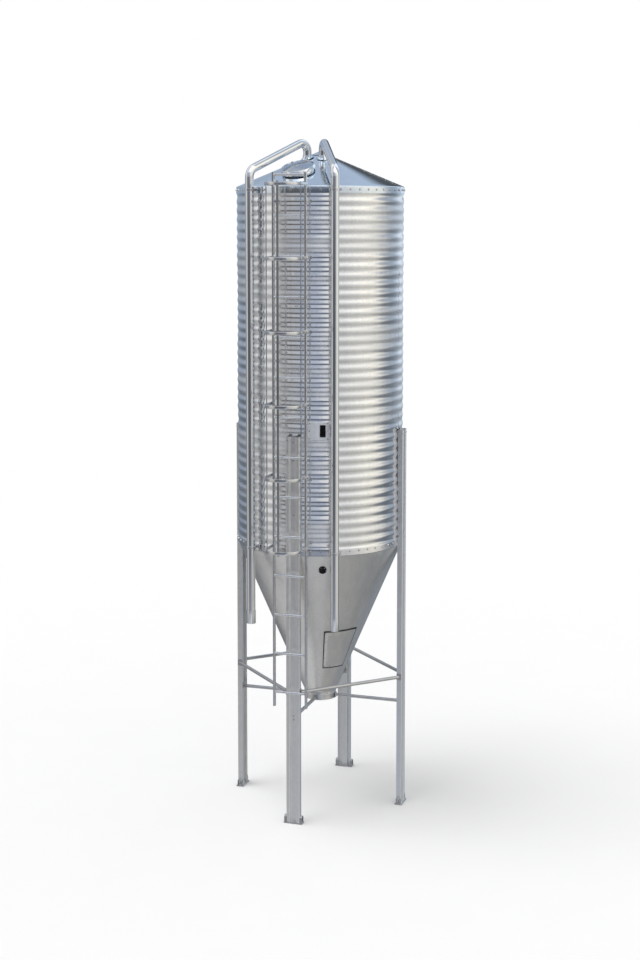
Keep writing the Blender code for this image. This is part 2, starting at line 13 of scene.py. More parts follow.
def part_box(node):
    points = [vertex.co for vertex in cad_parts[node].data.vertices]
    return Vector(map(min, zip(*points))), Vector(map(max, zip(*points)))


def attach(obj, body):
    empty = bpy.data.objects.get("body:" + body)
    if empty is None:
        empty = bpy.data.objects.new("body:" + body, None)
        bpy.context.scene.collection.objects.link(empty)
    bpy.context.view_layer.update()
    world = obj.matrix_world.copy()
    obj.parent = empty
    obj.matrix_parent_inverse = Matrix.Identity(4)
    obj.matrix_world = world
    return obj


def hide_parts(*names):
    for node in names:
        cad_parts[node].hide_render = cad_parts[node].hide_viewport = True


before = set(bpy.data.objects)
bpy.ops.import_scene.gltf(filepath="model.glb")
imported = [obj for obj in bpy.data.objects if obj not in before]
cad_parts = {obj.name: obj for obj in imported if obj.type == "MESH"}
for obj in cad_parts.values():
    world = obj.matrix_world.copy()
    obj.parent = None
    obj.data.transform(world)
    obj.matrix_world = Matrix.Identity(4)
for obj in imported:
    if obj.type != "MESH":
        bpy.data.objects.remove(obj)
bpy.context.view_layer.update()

# Driving sizes of the silo, as its solids have them.
WALL_R = 0.976              # crests of the corrugation
VALLEY_R = 0.968
EAVE_Z = 7.280
WALL_BASE_Z = 3.120
FIRST_CREST_Z = 7.113
CREST_PITCH = 0.10374
CRESTS_PER_RING = 8
CRESTS = 38
RINGS = 5
TOP_BAND = 0.070
BASE_BAND = 0.080

ROOF_SLOPE = 0.42           # rise over run
ROOF_R = 0.9803
ROOF_EDGE_Z = 7.285
SKIRT_DEPTH = 0.080

MANHOLE_AZIMUTH = -8.4
MANHOLE_RADIUS = 0.561      # distance of its centre from the axis
NECK_R = 0.176
NECK_WALL = 0.006
NECK_HEIGHT = 0.040
NECK_BELOW = 0.025
LID_R = 0.200
LID_RISE = 0.016
LID_SKIRT = 0.024

HOPPER_TOP_R = 0.9755
HOPPER_TOP_Z = 3.1195
HOPPER_R = 0.190
HOPPER_Z = 1.300
COLLAR_Z = 1.205
COLLAR_WALL = 0.018

HATCH_AZIMUTHS = (22.0, 68.6)
HATCH_Z = (1.638, 2.138)
HATCH_SEAL = 0.016
PLATE_AZIMUTHS = (9.5, 23.6)
PLATE_Z = (4.445, 4.648)
WINDOW_AZIMUTHS = (17.5, 21.2)
WINDOW_Z = (4.479, 4.615)
GLASS_AZIMUTH = 19.4
GLASS_Z = 2.944
GLASS_R = 0.045

LEG_TOP_Z = 4.480
LEG_HALF = 0.080
LEG_OUTER = 1.032
LEG_INNER = 0.9689
LEG_WEB = 0.998
LEG_WEB_HALF = 0.040
LEG_SHEET = 0.004
FOOT_HALF = 0.110
FOOT_IN = 0.955
FOOT_OUT = 1.045
FOOT_PLATE = 0.012
LUG_HEIGHT = 0.092
LEGS = {"front": 0.0, "right": 90.0, "back": 180.0, "left": 270.0}

RING_BRACE_Z = 1.545
SPOKE_Z = 1.237
BRACE_R = 0.0195
BRACE_RADIUS = 1.000

LADDER_Y = 1.120
STILE_X = 0.189
STILE_WIDTH = 0.024
STILE_DEPTH = 0.040
LADDER_BASE_Z = 1.400
LADDER_TOP_Z = 7.430
FIRST_RUNG_Z = 1.565
RUNG_PITCH = 0.449
RUNG_R = 0.014
LADDER_RUNGS = 7            # on each of the two lengths
LADDER_JOINT_Z = FIRST_RUNG_Z + RUNG_PITCH * (LADDER_RUNGS - 0.5)

CAGE_TURN_Y = 1.320         # where the straight arms of a hoop turn into its half circle
CAGE_FLAT = 0.008
CAGE_HOOP_HEIGHT = 0.036
CAGE_TOP_HOOP_Z = 7.300
CAGE_PITCH = 0.810
HOOPS = 6
STRAP_WIDTH = 0.026
CAGE_END = 0.030            # straps run this far past the end hoops

PIPE_R = 0.050
PIPE_WALL = 0.004
PIPE_DISTANCE = 1.065
PIPE_BASE_Z = 2.280
PIPE_END_LENGTH = 0.150
PIPE_KNEE_Z = 7.457
PIPE_KNEE_BEND = 0.120
PIPE_TOP_BEND = 0.090
PIPE_DROP = 0.200           # distance from the axis where a pipe enters the roof
PIPES = {"fill": -30.6, "vent": 26.5}
CLAMP_HEIGHT = 0.032
CLAMP_LEVELS = {"low": 3.166, "high": 7.240}

# Sheets: how many make a turn, where they start and how far one lies over the next, in degrees.
SHEETS_PER_RING = 3
RING_TURNS = (27.0, 87.0)   # of the rings in turn, so that their seams are staggered
SHEET_LAP = 2.4
WALL_GAUGE = 0.0015
RING_LAP = 0.012
RING_TUCK = 1.95 * WALL_GAUGE   # every second ring lies inside its neighbours
BAND_TURN = 0.018           # height over which a corrugation runs out into a flat band
NO_BAND = -0.1
ROOF_SHEETS = 6
ROOF_TURN = 26.5
ROOF_LAP = 3.0
ROOF_GAUGE = 0.0015
ROOF_CAP_R = 0.115
EAVE_BEND = 0.010
HOPPER_SHEETS = 4
HOPPER_SEAM = 1.5           # azimuth of the seam that faces the ladder
HOPPER_LAP = 2.6
HOPPER_GAUGE = 0.002
FLANGE_R = 0.9590
FLANGE_TOP_Z = WALL_BASE_Z + BASE_BAND - 0.004

# Fasteners as (radius of the head, its height, radius of the washer), and rivets by radius.
LEG_BOLT = (0.0095, 0.006, 0.013)
SEAM_BOLT = (0.0075, 0.005, 0.0105)
BAND_BOLT = (0.0105, 0.008, 0.015)
STRUT_BOLT = (0.0075, 0.005, 0.0088)
OUTLET_STRUT_BOLT = (0.0045, 0.004, 0.0055)
LADDER_BOLT = (0.006, 0.004, 0.0085)
SPLICE_BOLT = (0.006, 0.005, 0.009)
CAGE_BOLT = (0.006, 0.0045, 0.009)
CLAMP_BOLT = (0.005, 0.0035, 0.0065)
ANCHOR_NUT = (0.011, 0.013, 0.0135)
ANCHOR_STUD = (0.0065, 0.030, 0.0065)
CLIP_SCREW = (0.0035, 0.003, 0.0045)
HATCH_SCREW = (0.006, 0.004, 0.009)
PLATE_SCREW = (0.0055, 0.004, 0.008)
ROOF_RIVET = 0.0055
SHEET_RIVET = 0.005
GLASS_RIVET = 0.0026
BAND_BOLTS = 54
BAND_BOLT_START = 4.6       # azimuth of the first one, clear of both pipe clamps
JOINT_RIVETS = 30
LEG_CLEARANCE = 6.0         # degrees to both sides of a leg that rivets and band bolts keep off
WEB_BOLT_CRESTS = range(26, 38, 2)
LADDER_ARM_CRESTS = {"lower": (30, 37), "upper": (0, 6, 14)}
SEATING = 0.0004            # air between parts that meet
LAP_SINK = 1.3              # gauges by which a sheet's far end lies under the next one
RING_LAP_SINK = 1.2         # the same for the corrugated sheets
SHARP_FROM = 32.0           # angle in degrees from which an edge is not smoothed

wall_low, wall_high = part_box("wall_ring_1")
SILO_Y = (wall_low.y + wall_high.y) / 2
UP = Vector((0.0, 0.0, 1.0))


# Node trees

class Tree:
    """Adds nodes to one tree. A node's input takes a plain value or another node's output."""

    def __init__(self, tree):
        self.tree = tree

    def add(self, kind, inputs=None, **settings):
        node = self.tree.nodes.new(kind)
        for key, value in settings.items():
            setattr(node, key, value)
        for key, value in (inputs or {}).items():
            self.feed(node.inputs[key], value)
        return node

    def feed(self, socket, value):
        if isinstance(value, bpy.types.NodeSocket):
            self.tree.links.new(value, socket)
        else:
            socket.default_value = value

    def math(self, operation, *values):
        return self.add("ShaderNodeMath", dict(enumerate(values)), operation=operation).outputs[0]

    def vector(self, x, y, z):
        return self.add("ShaderNodeCombineXYZ", {0: x, 1: y, 2: z}).outputs[0]

    def smooth_step(self, value, low, high):
        node = self.add("ShaderNodeMapRange", {"Value": value, "From Min": low, "From Max": high},
                        interpolation_type="SMOOTHSTEP")
        return node.outputs[0]

    def remap(self, value, low, high, from_low=0.0, from_high=1.0):
        return self.add("ShaderNodeMapRange", {
            "Value": value, "From Min": from_low, "From Max": from_high, "To Min": low,
            "To Max": high}).outputs[0]

    def copies(self, part, count, step, rotation=None):
        """The part repeated along a line, or turned round the axis."""
        line = self.add("GeometryNodeMeshLine", {"Count": count, "Offset": step})
        points = {"Points": line.outputs[0], "Instance": part}
        if rotation is not None:
            points["Rotation"] = rotation
        return self.add("GeometryNodeInstanceOnPoints", points).outputs[0]

    def close(self, geometry, material):
        """End a geometry group with real geometry in its material."""
        real = self.add("GeometryNodeRealizeInstances", {"Geometry": geometry})
        coated = self.add("GeometryNodeSetMaterial", {"Geometry": real.outputs[0],
                                                      "Material": material})
        self.tree.links.new(coated.outputs[0], self.add("NodeGroupOutput").inputs[0])

    def pattern(self, kind, scale, **inputs):
        """A texture read in object coordinates, with its own scale along each axis."""
        place = self.add("ShaderNodeTexCoord").outputs["Object"]
        mapped = self.add("ShaderNodeMapping", {"Vector": place, "Scale": scale})
        return self.add(kind, {"Vector": mapped.outputs[0], "Scale": 1.0, **inputs})

    def noise(self, scale, detail, roughness=0.5):
        return self.pattern("ShaderNodeTexNoise", scale, Detail=detail,
                            Roughness=roughness).outputs[0]

    def mix(self, factor, one, two, mode="MIX"):
        """Two colours mixed. Each is (red, green, blue) or another node's output."""
        node = self.add("ShaderNodeMix", {0: factor}, data_type="RGBA", blend_type=mode)
        for socket, colour in ((node.inputs[6], one), (node.inputs[7], two)):
            self.feed(socket, (*colour, 1.0) if isinstance(colour, tuple) else colour)
        return node.outputs[2]

    def bump(self, strength, distance, height):
        return self.add("ShaderNodeBump", {"Strength": strength, "Distance": distance,
                                           "Height": height})


SOCKET_KINDS = {float: "NodeSocketFloat", int: "NodeSocketInt", bool: "NodeSocketBool"}


def geometry_group(name, sizes):
    """An empty Geometry Nodes group whose sizes are named inputs, with their sockets."""
    group = bpy.data.node_groups.new(name, "GeometryNodeTree")
    group.interface.new_socket("Geometry", in_out="INPUT", socket_type="NodeSocketGeometry")
    for label, value in sizes.items():
        socket = group.interface.new_socket(label, in_out="INPUT",
                                            socket_type=SOCKET_KINDS[type(value)])
        socket.default_value = value
    group.interface.new_socket("Material", in_out="INPUT", socket_type="NodeSocketMaterial")
    group.interface.new_socket("Geometry", in_out="OUTPUT", socket_type="NodeSocketGeometry")
    tree = Tree(group)
    return group, tree, tree.add("NodeGroupInput").outputs


def corrugated_ring_group():
    """Corrugated sheets bent into one ring, each lying over the next one's edge."""
    group, tree, size = geometry_group("corrugated_ring", {
        "Crest Radius": 1.0, "Depth": 0.017, "Pitch": 0.1, "Crest Height": 1.0,
        "Bottom": 0.0, "Top": 1.0, "Bottom Band": NO_BAND, "Top Band": NO_BAND,
        "Band Turn": 0.01, "Sheets": 3, "Lap": 0.04, "Gauge": 0.0015, "Turn": 0.0,
        "Steps Around": 44, "Steps Up": 96})
    grid = tree.add("GeometryNodeMeshGrid", {
        "Size X": 1.0, "Size Y": 1.0, "Vertices X": size["Steps Around"],
        "Vertices Y": size["Steps Up"]})
    position = tree.add("GeometryNodeInputPosition").outputs[0]
    here = tree.add("ShaderNodeSeparateXYZ", {0: position}).outputs
    along = tree.math("ADD", here[0], 0.5)
    up = tree.math("ADD", here[1], 0.5)
    height = tree.math("MULTIPLY_ADD", up, tree.math("SUBTRACT", size["Top"], size["Bottom"]),
                       size["Bottom"])

    phase = tree.math("DIVIDE", tree.math("SUBTRACT", height, size["Crest Height"]), size["Pitch"])
    wave = tree.math("COSINE", tree.math("MULTIPLY", phase, math.tau))
    top_edge = tree.math("SUBTRACT", size["Top"], size["Top Band"])
    low_edge = tree.math("ADD", size["Bottom"], size["Bottom Band"])
    in_top = tree.smooth_step(height, tree.math("SUBTRACT", top_edge, size["Band Turn"]),
                              tree.math("ADD", top_edge, size["Band Turn"]))
    in_low = tree.smooth_step(height, tree.math("ADD", low_edge, size["Band Turn"]),
                              tree.math("SUBTRACT", low_edge, size["Band Turn"]))
    waved = tree.math("SUBTRACT", 1.0, tree.math("MAXIMUM", in_top, in_low))
    half_depth = tree.math("MULTIPLY", size["Depth"], 0.5)
    sunk = tree.math("MULTIPLY", tree.math("SUBTRACT", 1.0, wave), half_depth)
    radius = tree.math("SUBTRACT", size["Crest Radius"], tree.math("MULTIPLY", sunk, waved))
    under = tree.math("MULTIPLY", tree.math("MULTIPLY", size["Gauge"], RING_LAP_SINK), along)
    radius = tree.math("SUBTRACT", radius, under)

    share = tree.math("DIVIDE", math.tau, size["Sheets"])
    angle = tree.math("MULTIPLY_ADD", along, tree.math("ADD", share, size["Lap"]), size["Turn"])
    place = tree.vector(tree.math("MULTIPLY", radius, tree.math("SINE", angle)),
                        tree.math("MULTIPLY", tree.math("MULTIPLY", radius, -1.0),
                                  tree.math("COSINE", angle)), height)
    sheet = tree.add("GeometryNodeSetPosition", {"Geometry": grid.outputs[0], "Position": place})
    index = tree.add("GeometryNodeInputIndex").outputs[0]
    turn = tree.vector(0.0, 0.0, tree.math("MULTIPLY", index, share))
    rotation = tree.add("FunctionNodeEulerToRotation", {0: turn}).outputs[0]
    ring = tree.copies(sheet.outputs[0], size["Sheets"], (0.0, 0.0, 0.0), rotation)
    tree.close(ring, size["Material"])
    return group


def fastener_group():
    """A headed fastener on a washer at each point, along the point's outward direction."""
    group, tree, size = geometry_group("fasteners", {
        "Head Sides": 6, "Head Radius": 0.009, "Head Height": 0.006, "Head Taper": 0.9,
        "Washer Radius": 0.012, "Washer Height": 0.002})
    washer = tree.add("GeometryNodeMeshCone", {
        "Vertices": 14, "Radius Top": tree.math("MULTIPLY", size["Washer Radius"], 0.95),
        "Radius Bottom": size["Washer Radius"], "Depth": size["Washer Height"]})
    head = tree.add("GeometryNodeMeshCone", {
        "Vertices": size["Head Sides"],
        "Radius Top": tree.math("MULTIPLY", size["Head Radius"], size["Head Taper"]),
        "Radius Bottom": size["Head Radius"], "Depth": size["Head Height"]})
    raised = tree.add("GeometryNodeTransform", {
        "Geometry": head.outputs["Mesh"],
        "Translation": tree.vector(0.0, 0.0, size["Washer Height"])})
    whole = tree.add("GeometryNodeJoinGeometry")
    for part in (washer.outputs["Mesh"], raised.outputs[0]):
        tree.tree.links.new(part, whole.inputs[0])
    outward = tree.add("GeometryNodeInputNamedAttribute", {"Name": "outward"},
                       data_type="FLOAT_VECTOR").outputs["Attribute"]
    rotation = tree.add("FunctionNodeAlignRotationToVector", {"Vector": outward}, axis="Z")
    placed = tree.add("GeometryNodeInstanceOnPoints", {
        "Points": size["Geometry"], "Instance": whole.outputs[0], "Rotation": rotation.outputs[0]})
    tree.close(placed.outputs[0], size["Material"])
    return group


def flat_bar_group():
    """Flat bar bent along a path, with rounded edges, and repeated upwards."""
    group, tree, size = geometry_group("flat_bar", {
        "Across": 0.008, "Height": 0.036, "Edge": 0.002, "Copies": 1, "Spacing": 0.1})
    path = tree.add("GeometryNodeMeshToCurve", {"Mesh": size["Geometry"]})
    path = tree.add("GeometryNodeSetCurveNormal", {"Curve": path.outputs[0]}, mode="Z_UP")
    section = tree.add("GeometryNodeCurvePrimitiveQuadrilateral", {
        "Width": size["Across"], "Height": size["Height"]})
    section = tree.add("GeometryNodeFilletCurve", {
        "Curve": section.outputs[0], "Radius": size["Edge"], "Count": 3}, mode="POLY")
    bar = tree.add("GeometryNodeCurveToMesh", {
        "Curve": path.outputs[0], "Profile Curve": section.outputs[0], "Fill Caps": True})
    step = tree.vector(0.0, 0.0, size["Spacing"])
    tree.close(tree.copies(bar.outputs[0], size["Copies"], step), size["Material"])
    return group


def tube_group():
    """A round tube or rod along a path, and repeated upwards."""
    group, tree, size = geometry_group("round_tube", {
        "Radius": 0.02, "Sides": 24, "Closed Ends": True, "Copies": 1, "Spacing": 0.1})
    path = tree.add("GeometryNodeMeshToCurve", {"Mesh": size["Geometry"]})
    section = tree.add("GeometryNodeCurvePrimitiveCircle", {
        "Resolution": size["Sides"], "Radius": size["Radius"]})
    tube = tree.add("GeometryNodeCurveToMesh", {
        "Curve": path.outputs[0], "Profile Curve": section.outputs[0],
        "Fill Caps": size["Closed Ends"]})
    step = tree.vector(0.0, 0.0, size["Spacing"])
    tree.close(tree.copies(tube.outputs[0], size["Copies"], step), size["Material"])
    return group


def new_object(name, data):
    thing = bpy.data.objects.new(name, data)
    bpy.context.scene.collection.objects.link(thing)
    return thing


def plain_mesh(thing):
    """The evaluated shape as a mesh of its own. The object and its modifiers go."""
    bpy.context.view_layer.update()
    depsgraph = bpy.context.evaluated_depsgraph_get()
    mesh = bpy.data.meshes.new_from_object(thing.evaluated_get(depsgraph))
    bpy.data.objects.remove(thing, do_unlink=True)
    return mesh


def run_group(group, base, material, sizes, wall=0.0):
    """The plain mesh that a group makes of a base mesh, with a wall thickness if it has one."""
    thing = new_object("work", base or bpy.data.meshes.new("work"))
    modifier = thing.modifiers.new(group.name, "NODES")
    modifier.node_group = group
    known = {item.name: item.identifier for item in group.interface.items_tree
             if item.in_out == "INPUT"}
    for label, value in {**sizes, "Material": material}.items():
        modifier[known[label]] = value
    if wall:
        shell = thing.modifiers.new("wall", "SOLIDIFY")
        shell.thickness = wall
        shell.offset = -1.0
    return plain_mesh(thing)


# Places and directions

def polar(radius, azimuth, z):
    angle = math.radians(azimuth)
    return Vector((radius * math.sin(angle), -radius * math.cos(angle), z))


def round_place(radius, azimuth, z):
    """A point round the axis and its outward direction."""
    return polar(radius, azimuth, z), polar(1.0, azimuth, 0.0)


def crest_z(index):
    return FIRST_CREST_Z - index * CREST_PITCH


def leg_distance(azimuth):
    """Degrees from an azimuth to the nearest leg."""
    return min(abs((azimuth - leg + 180.0) % 360.0 - 180.0) for leg in LEGS.values())


def roof_z(radius):
    return ROOF_EDGE_Z + ROOF_SLOPE * (ROOF_R - radius)


def roof_normal(azimuth):
    return polar(ROOF_SLOPE, azimuth, 1.0).normalized()


HOPPER_SLOPE = (HOPPER_TOP_R - HOPPER_R) / (HOPPER_TOP_Z - HOPPER_Z)


def hopper_radius(z):
    return HOPPER_R + (z - HOPPER_Z) * HOPPER_SLOPE


def hopper_normal(azimuth):
    return polar(1.0, azimuth, -HOPPER_SLOPE).normalized()


def turned(azimuth):
    return Matrix.Rotation(math.radians(azimuth), 4, "Z")


def standing(point, outward):
    """The frame of a part that stands on a point along an outward direction."""
    return Matrix.Translation(point) @ outward.to_track_quat("Z", "Y").to_matrix().to_4x4()


ON_EDGE = Matrix.Rotation(math.radians(90.0), 4, "X")   # turns an outline's y upwards
ACROSS = turned(90.0) @ ON_EDGE                         # and its x to the back


# Shaping helpers

def to_mesh(bm, matrix=None):
    if matrix is not None:
        bmesh.ops.transform(bm, matrix=matrix, verts=bm.verts)
    bmesh.ops.recalc_face_normals(bm, faces=bm.faces)
    mesh = bpy.data.meshes.new("part")
    bm.to_mesh(mesh)
    bm.free()
    return mesh


def join_meshes(meshes, matrix=None):
    bm = bmesh.new()
    for mesh in meshes:
        bm.from_mesh(mesh)
        bpy.data.meshes.remove(mesh)
    return to_mesh(bm, matrix)


def moved(mesh, matrix):
    copy = mesh.copy()
    copy.transform(matrix)
    return copy


def path_mesh(points):
    mesh = bpy.data.meshes.new("path")
    edges = [(k, k + 1) for k in range(len(points) - 1)]
    mesh.from_pydata([tuple(p) for p in points], edges, [])
    return mesh


def arc_points(centre, radius, start, end, steps):
    """Points (a, b) on an arc in a plane, its ends included. Angles in degrees."""
    angles = [math.radians(start + (end - start) * k / steps) for k in range(steps + 1)]
    return [(centre[0] + radius * math.cos(a), centre[1] + radius * math.sin(a)) for a in angles]


def rounded_path(corners, bends, steps):
    """The corners joined by straight runs, with each inner corner turned on its radius."""
    path = [corners[0]]
    for before, corner, after, bend in zip(corners, corners[1:], corners[2:], bends):
        to_before, to_after = (before - corner).normalized(), (after - corner).normalized()
        half = to_before.angle(to_after) / 2
        reach = bend / math.tan(half)
        middle = corner + (to_before + to_after).normalized() * (bend / math.sin(half))
        start = corner + to_before * reach - middle
        end = corner + to_after * reach - middle
        sweep, axis = start.angle(end), start.cross(end).normalized()
        for k in range(steps + 1):
            path.append(middle + Matrix.Rotation(sweep * k / steps, 3, axis) @ start)
    return path + [corners[-1]]


def skin(bm, rows, closed=False):
    """Faces between closed rows of points. A row of one point is a pole."""
    for one, two in zip(rows, rows[1:] + (rows[:1] if closed else [])):
        count = max(len(one), len(two))
        for k in range(count):
            after = (k + 1) % count
            corners = [row[index % len(row)] for row, index in
                       ((one, k), (one, after), (two, after), (two, k))]
            bm.faces.new(tuple(dict.fromkeys(corners)))


def lathe(profile, steps, matrix=None, closed=True):
    """A profile of (radius, height) turned round Z. Points on the axis close as poles."""
    bm = bmesh.new()
    rows = []
    for radius, height in profile:
        angles = [math.tau * k / steps for k in range(1 if radius < 1e-6 else steps)]
        rows.append([bm.verts.new((radius * math.cos(a), radius * math.sin(a), height))
                     for a in angles])
    skin(bm, rows, closed)
    return to_mesh(bm, matrix)


def swept(loops, matrix=None):
    """A solid through loops of points. Each loop runs along a line and back beside it."""
    bm = bmesh.new()
    rows = [[bm.verts.new(point) for point in loop] for loop in loops]
    skin(bm, rows)
    total = len(rows[0])
    for row in (rows[0], rows[-1]):
        for k in range(total // 2 - 1):
            bm.faces.new((row[k], row[k + 1], row[total - 2 - k], row[total - 1 - k]))
    return to_mesh(bm, matrix)


def extruded(outline, low, high, matrix=None):
    """An outline (x, y), which runs there and back, raised from low to high."""
    return swept([[(point[0], point[1], z) for point in outline] for z in (low, high)], matrix)


def lapped_sheets(profile, count, steps, lap, gauge, turn):
    """Sheets that make a full turn, each one's end lying under the next one's start."""
    normals = []
    for index in range(len(profile)):
        before, after = profile[max(index - 1, 0)], profile[min(index + 1, len(profile) - 1)]
        run = Vector((after[0] - before[0], after[1] - before[1])).normalized()
        normals.append((-run.y, run.x))
    span = 360.0 / count + lap

    def line(start, k, depth):
        """The profile at one step along a sheet, sunk by a depth and by the lap so far."""
        sink = depth + LAP_SINK * gauge * k / steps
        return [polar(radius - out * sink, start + span * k / steps, z - up * sink)
                for (radius, z), (out, up) in zip(profile, normals)]

    sheets = []
    for sheet in range(count):
        start = turn + 360.0 * sheet / count
        sheets.append(swept([line(start, k, 0.0) + line(start, k, gauge)[::-1]
                             for k in range(steps + 1)]))
    return join_meshes(sheets)


def soft_box(low, high, bevel, matrix=None):
    """A plate or block with its edges eased."""
    middle = [(a + b) / 2 for a, b in zip(low, high)]
    size = [b - a for a, b in zip(low, high)]
    bm = bmesh.new()
    bmesh.ops.create_cube(bm, size=1.0,
                          matrix=Matrix.Translation(middle) @ Matrix.Diagonal((*size, 1.0)))
    bmesh.ops.bevel(bm, geom=bm.edges[:], offset=bevel, segments=2, affect="EDGES")
    return to_mesh(bm, matrix)


def soft_square(corner_x, corner_y, along=14, turn=5):
    """Points (x, y) round a square from -1 to 1 whose corners are turned, as shares of it."""
    arcs = [[(sx * (1.0 - corner_x) + a * corner_x, sy * (1.0 - corner_y) + b * corner_y)
             for a, b in arc_points((0.0, 0.0), 1.0, start, start + 90.0, turn)]
            for start, sx, sy in ((0.0, 1, 1), (90.0, -1, 1), (180.0, -1, -1), (270.0, 1, -1))]
    loop = []
    for arc, following in zip(arcs, arcs[1:] + arcs[:1]):
        (x0, y0), (x1, y1) = arc[-1], following[0]
        loop += arc
        loop += [(x0 + (x1 - x0) * k / along, y0 + (y1 - y0) * k / along) for k in range(1, along)]
    return loop


def patch(azimuths, heights, place):
    """A four-sided patch: a point for x and y from -1 to 1, by place(azimuth, z, offset)."""
    middle_a, half_a = (azimuths[0] + azimuths[1]) / 2, (azimuths[1] - azimuths[0]) / 2
    middle_z, half_z = (heights[0] + heights[1]) / 2, (heights[1] - heights[0]) / 2
    return lambda x, y, offset: place(middle_a + half_a * x, middle_z + half_z * y, offset)


def hopper_patch(azimuths, heights):
    return patch(azimuths, heights, lambda azimuth, z, offset:
                 polar(hopper_radius(z), azimuth, z) + hopper_normal(azimuth) * offset)


def wall_patch(azimuths, heights, radius=WALL_R):
    return patch(azimuths, heights, lambda azimuth, z, offset: polar(radius + offset, azimuth, z))


def patch_place(surface, x, y, offset):
    """A point on a patch and its outward direction."""
    at = surface(x, y, offset)
    return at, (surface(x, y, offset + 0.01) - at).normalized()


def pad_on(surface, levels, corners, ring_only=False):
    """A closed pad, or a ring, with rounded corners on a patch.

    levels are (share, offset) from its underside over its rim to its middle, or once round
    the section of a ring.
    """
    square = soft_square(*corners)
    bm = bmesh.new()
    rows = [[bm.verts.new(surface(x * share, y * share, offset)) for x, y in square]
            for share, offset in levels]
    if not ring_only:
        under, over = (bm.verts.new(surface(0.0, 0.0, levels[end][1])) for end in (0, -1))
        rows = [[under]] + rows + [[over]]
    skin(bm, rows, closed=ring_only)
    return to_mesh(bm)


def add_piece(name, meshes, finish, nodes=()):
    """Join finished meshes into one piece, move it to the axis and tell the frame of it."""
    mesh = join_meshes(meshes, Matrix.Translation((0.0, SILO_Y, 0.0)))
    mesh.name = name
    mesh.materials.clear()
    mesh.materials.append(finish)
    mesh.shade_smooth()
    mesh.set_sharp_from_angle(angle=math.radians(SHARP_FROM))
    piece = new_object(name, mesh)
    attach(piece, "root")
    if nodes:
        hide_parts(*nodes)


# Finishes

# Patterns as (scale along each axis, detail, roughness).
BLOOM = ((2.1, 2.1, 1.3), 6.0, 0.62)
RAIN_RUNS = ((14.0, 14.0, 0.7), 4.0, 0.6)
SHEET_RIPPLE = ((0.55, 0.55, 3.6), 2.0, 0.5)
DRAWN_LINES = ((420.0, 420.0, 5.0), 2.0)
TUBE_BLOOM = ((5.0, 5.0, 2.5), 5.0, 0.6)
DUST = ((9.0, 9.0, 6.0), 6.0, 0.65)
BUMP_DEPTH = 0.001


def new_finish(name, **plain):
    """A material, its tree and its shader's inputs, some of them set to plain values."""
    material = bpy.data.materials.new(name)
    material.use_nodes = True
    shader = material.node_tree.nodes["Principled BSDF"].inputs
    for label, value in plain.items():
        shader[label.replace("_", " ")].default_value = value
    return material, Tree(material.node_tree), shader


def zinc_finish(name, dark, light, roughness, spangle=70.0, grain=(260.0, 260.0, 9.0),
                relief=0.05, streaks=0.12, waves=0.0):
    """Galvanised steel: crystals of zinc, a cloudy bloom, rain runs and faint rolling lines."""
    material, tree, shader = new_finish(name, Metallic=1.0)
    crystals = tree.pattern("ShaderNodeTexVoronoi", (spangle,) * 3, Randomness=1.0)
    cell = tree.add("ShaderNodeSeparateColor", {0: crystals.outputs["Color"]}).outputs[0]
    bloom = tree.noise(*BLOOM)
    lines = tree.noise(grain, 3.0, 0.55)
    runs = tree.noise(*RAIN_RUNS)
    tone = tree.math("MULTIPLY_ADD", cell, 0.34, tree.math("MULTIPLY", bloom, 0.62))
    tone = tree.math("ADD", tone, tree.remap(runs, -streaks, streaks, 0.3, 0.7))
    tone = tree.math("ADD", tone, tree.remap(lines, -0.06, 0.06, 0.3, 0.7))
    tree.feed(shader["Base Color"], tree.mix(tone, dark, light))
    rough = tree.math("MULTIPLY_ADD", bloom, 0.6, tree.math("MULTIPLY", cell, 0.25))
    rough = tree.math("ADD", rough, tree.remap(runs, -0.1, 0.15, 0.35, 0.65))
    rough = tree.remap(rough, *roughness, 0.15, 0.85)
    height = tree.math("MULTIPLY_ADD", lines, 0.5, tree.math("MULTIPLY", cell, 0.03))
    bump = tree.bump(relief, 2.0 * BUMP_DEPTH, height)
    if waves:
        ripple = tree.noise(*SHEET_RIPPLE)
        rough = tree.math("ADD", rough, tree.remap(ripple, 0.0, 0.26, 0.46, 0.62))
        tree.feed(bump.inputs["Normal"], tree.bump(1.0, waves, ripple).outputs[0])
    tree.feed(shader["Roughness"], rough)
    tree.feed(shader["Normal"], bump.outputs[0])
    return material


def pipe_finish(name, dark, light, roughness):
    """Bright drawn tube with fine lines along it."""
    material, tree, shader = new_finish(name, Metallic=1.0)
    lines = tree.noise(*DRAWN_LINES)
    tone = tree.math("MULTIPLY_ADD", lines, 0.4, tree.math("MULTIPLY", tree.noise(*TUBE_BLOOM), 0.6))
    tree.feed(shader["Base Color"], tree.mix(tone, dark, light))
    tree.feed(shader["Roughness"], tree.remap(tone, *roughness, 0.3, 0.7))
    tree.feed(shader["Normal"], tree.bump(0.03, BUMP_DEPTH, lines).outputs[0])
    return material


def dark_finish(name, dark, light, roughness, grain, relief, gloss):
    """Black rubber or glass with fine grain and a little dust."""
    material, tree, shader = new_finish(name, Specular_IOR_Level=gloss)
    dust = tree.noise(*DUST)
    fine = tree.noise((grain,) * 3, 3.0)
    tree.feed(shader["Base Color"], tree.mix(tree.remap(dust, 0.0, 1.0, 0.35, 0.75), dark, light))
    tree.feed(shader["Roughness"], tree.remap(dust, *roughness, 0.3, 0.7))
    tree.feed(shader["Normal"], tree.bump(relief, BUMP_DEPTH, fine).outputs[0])
    return material


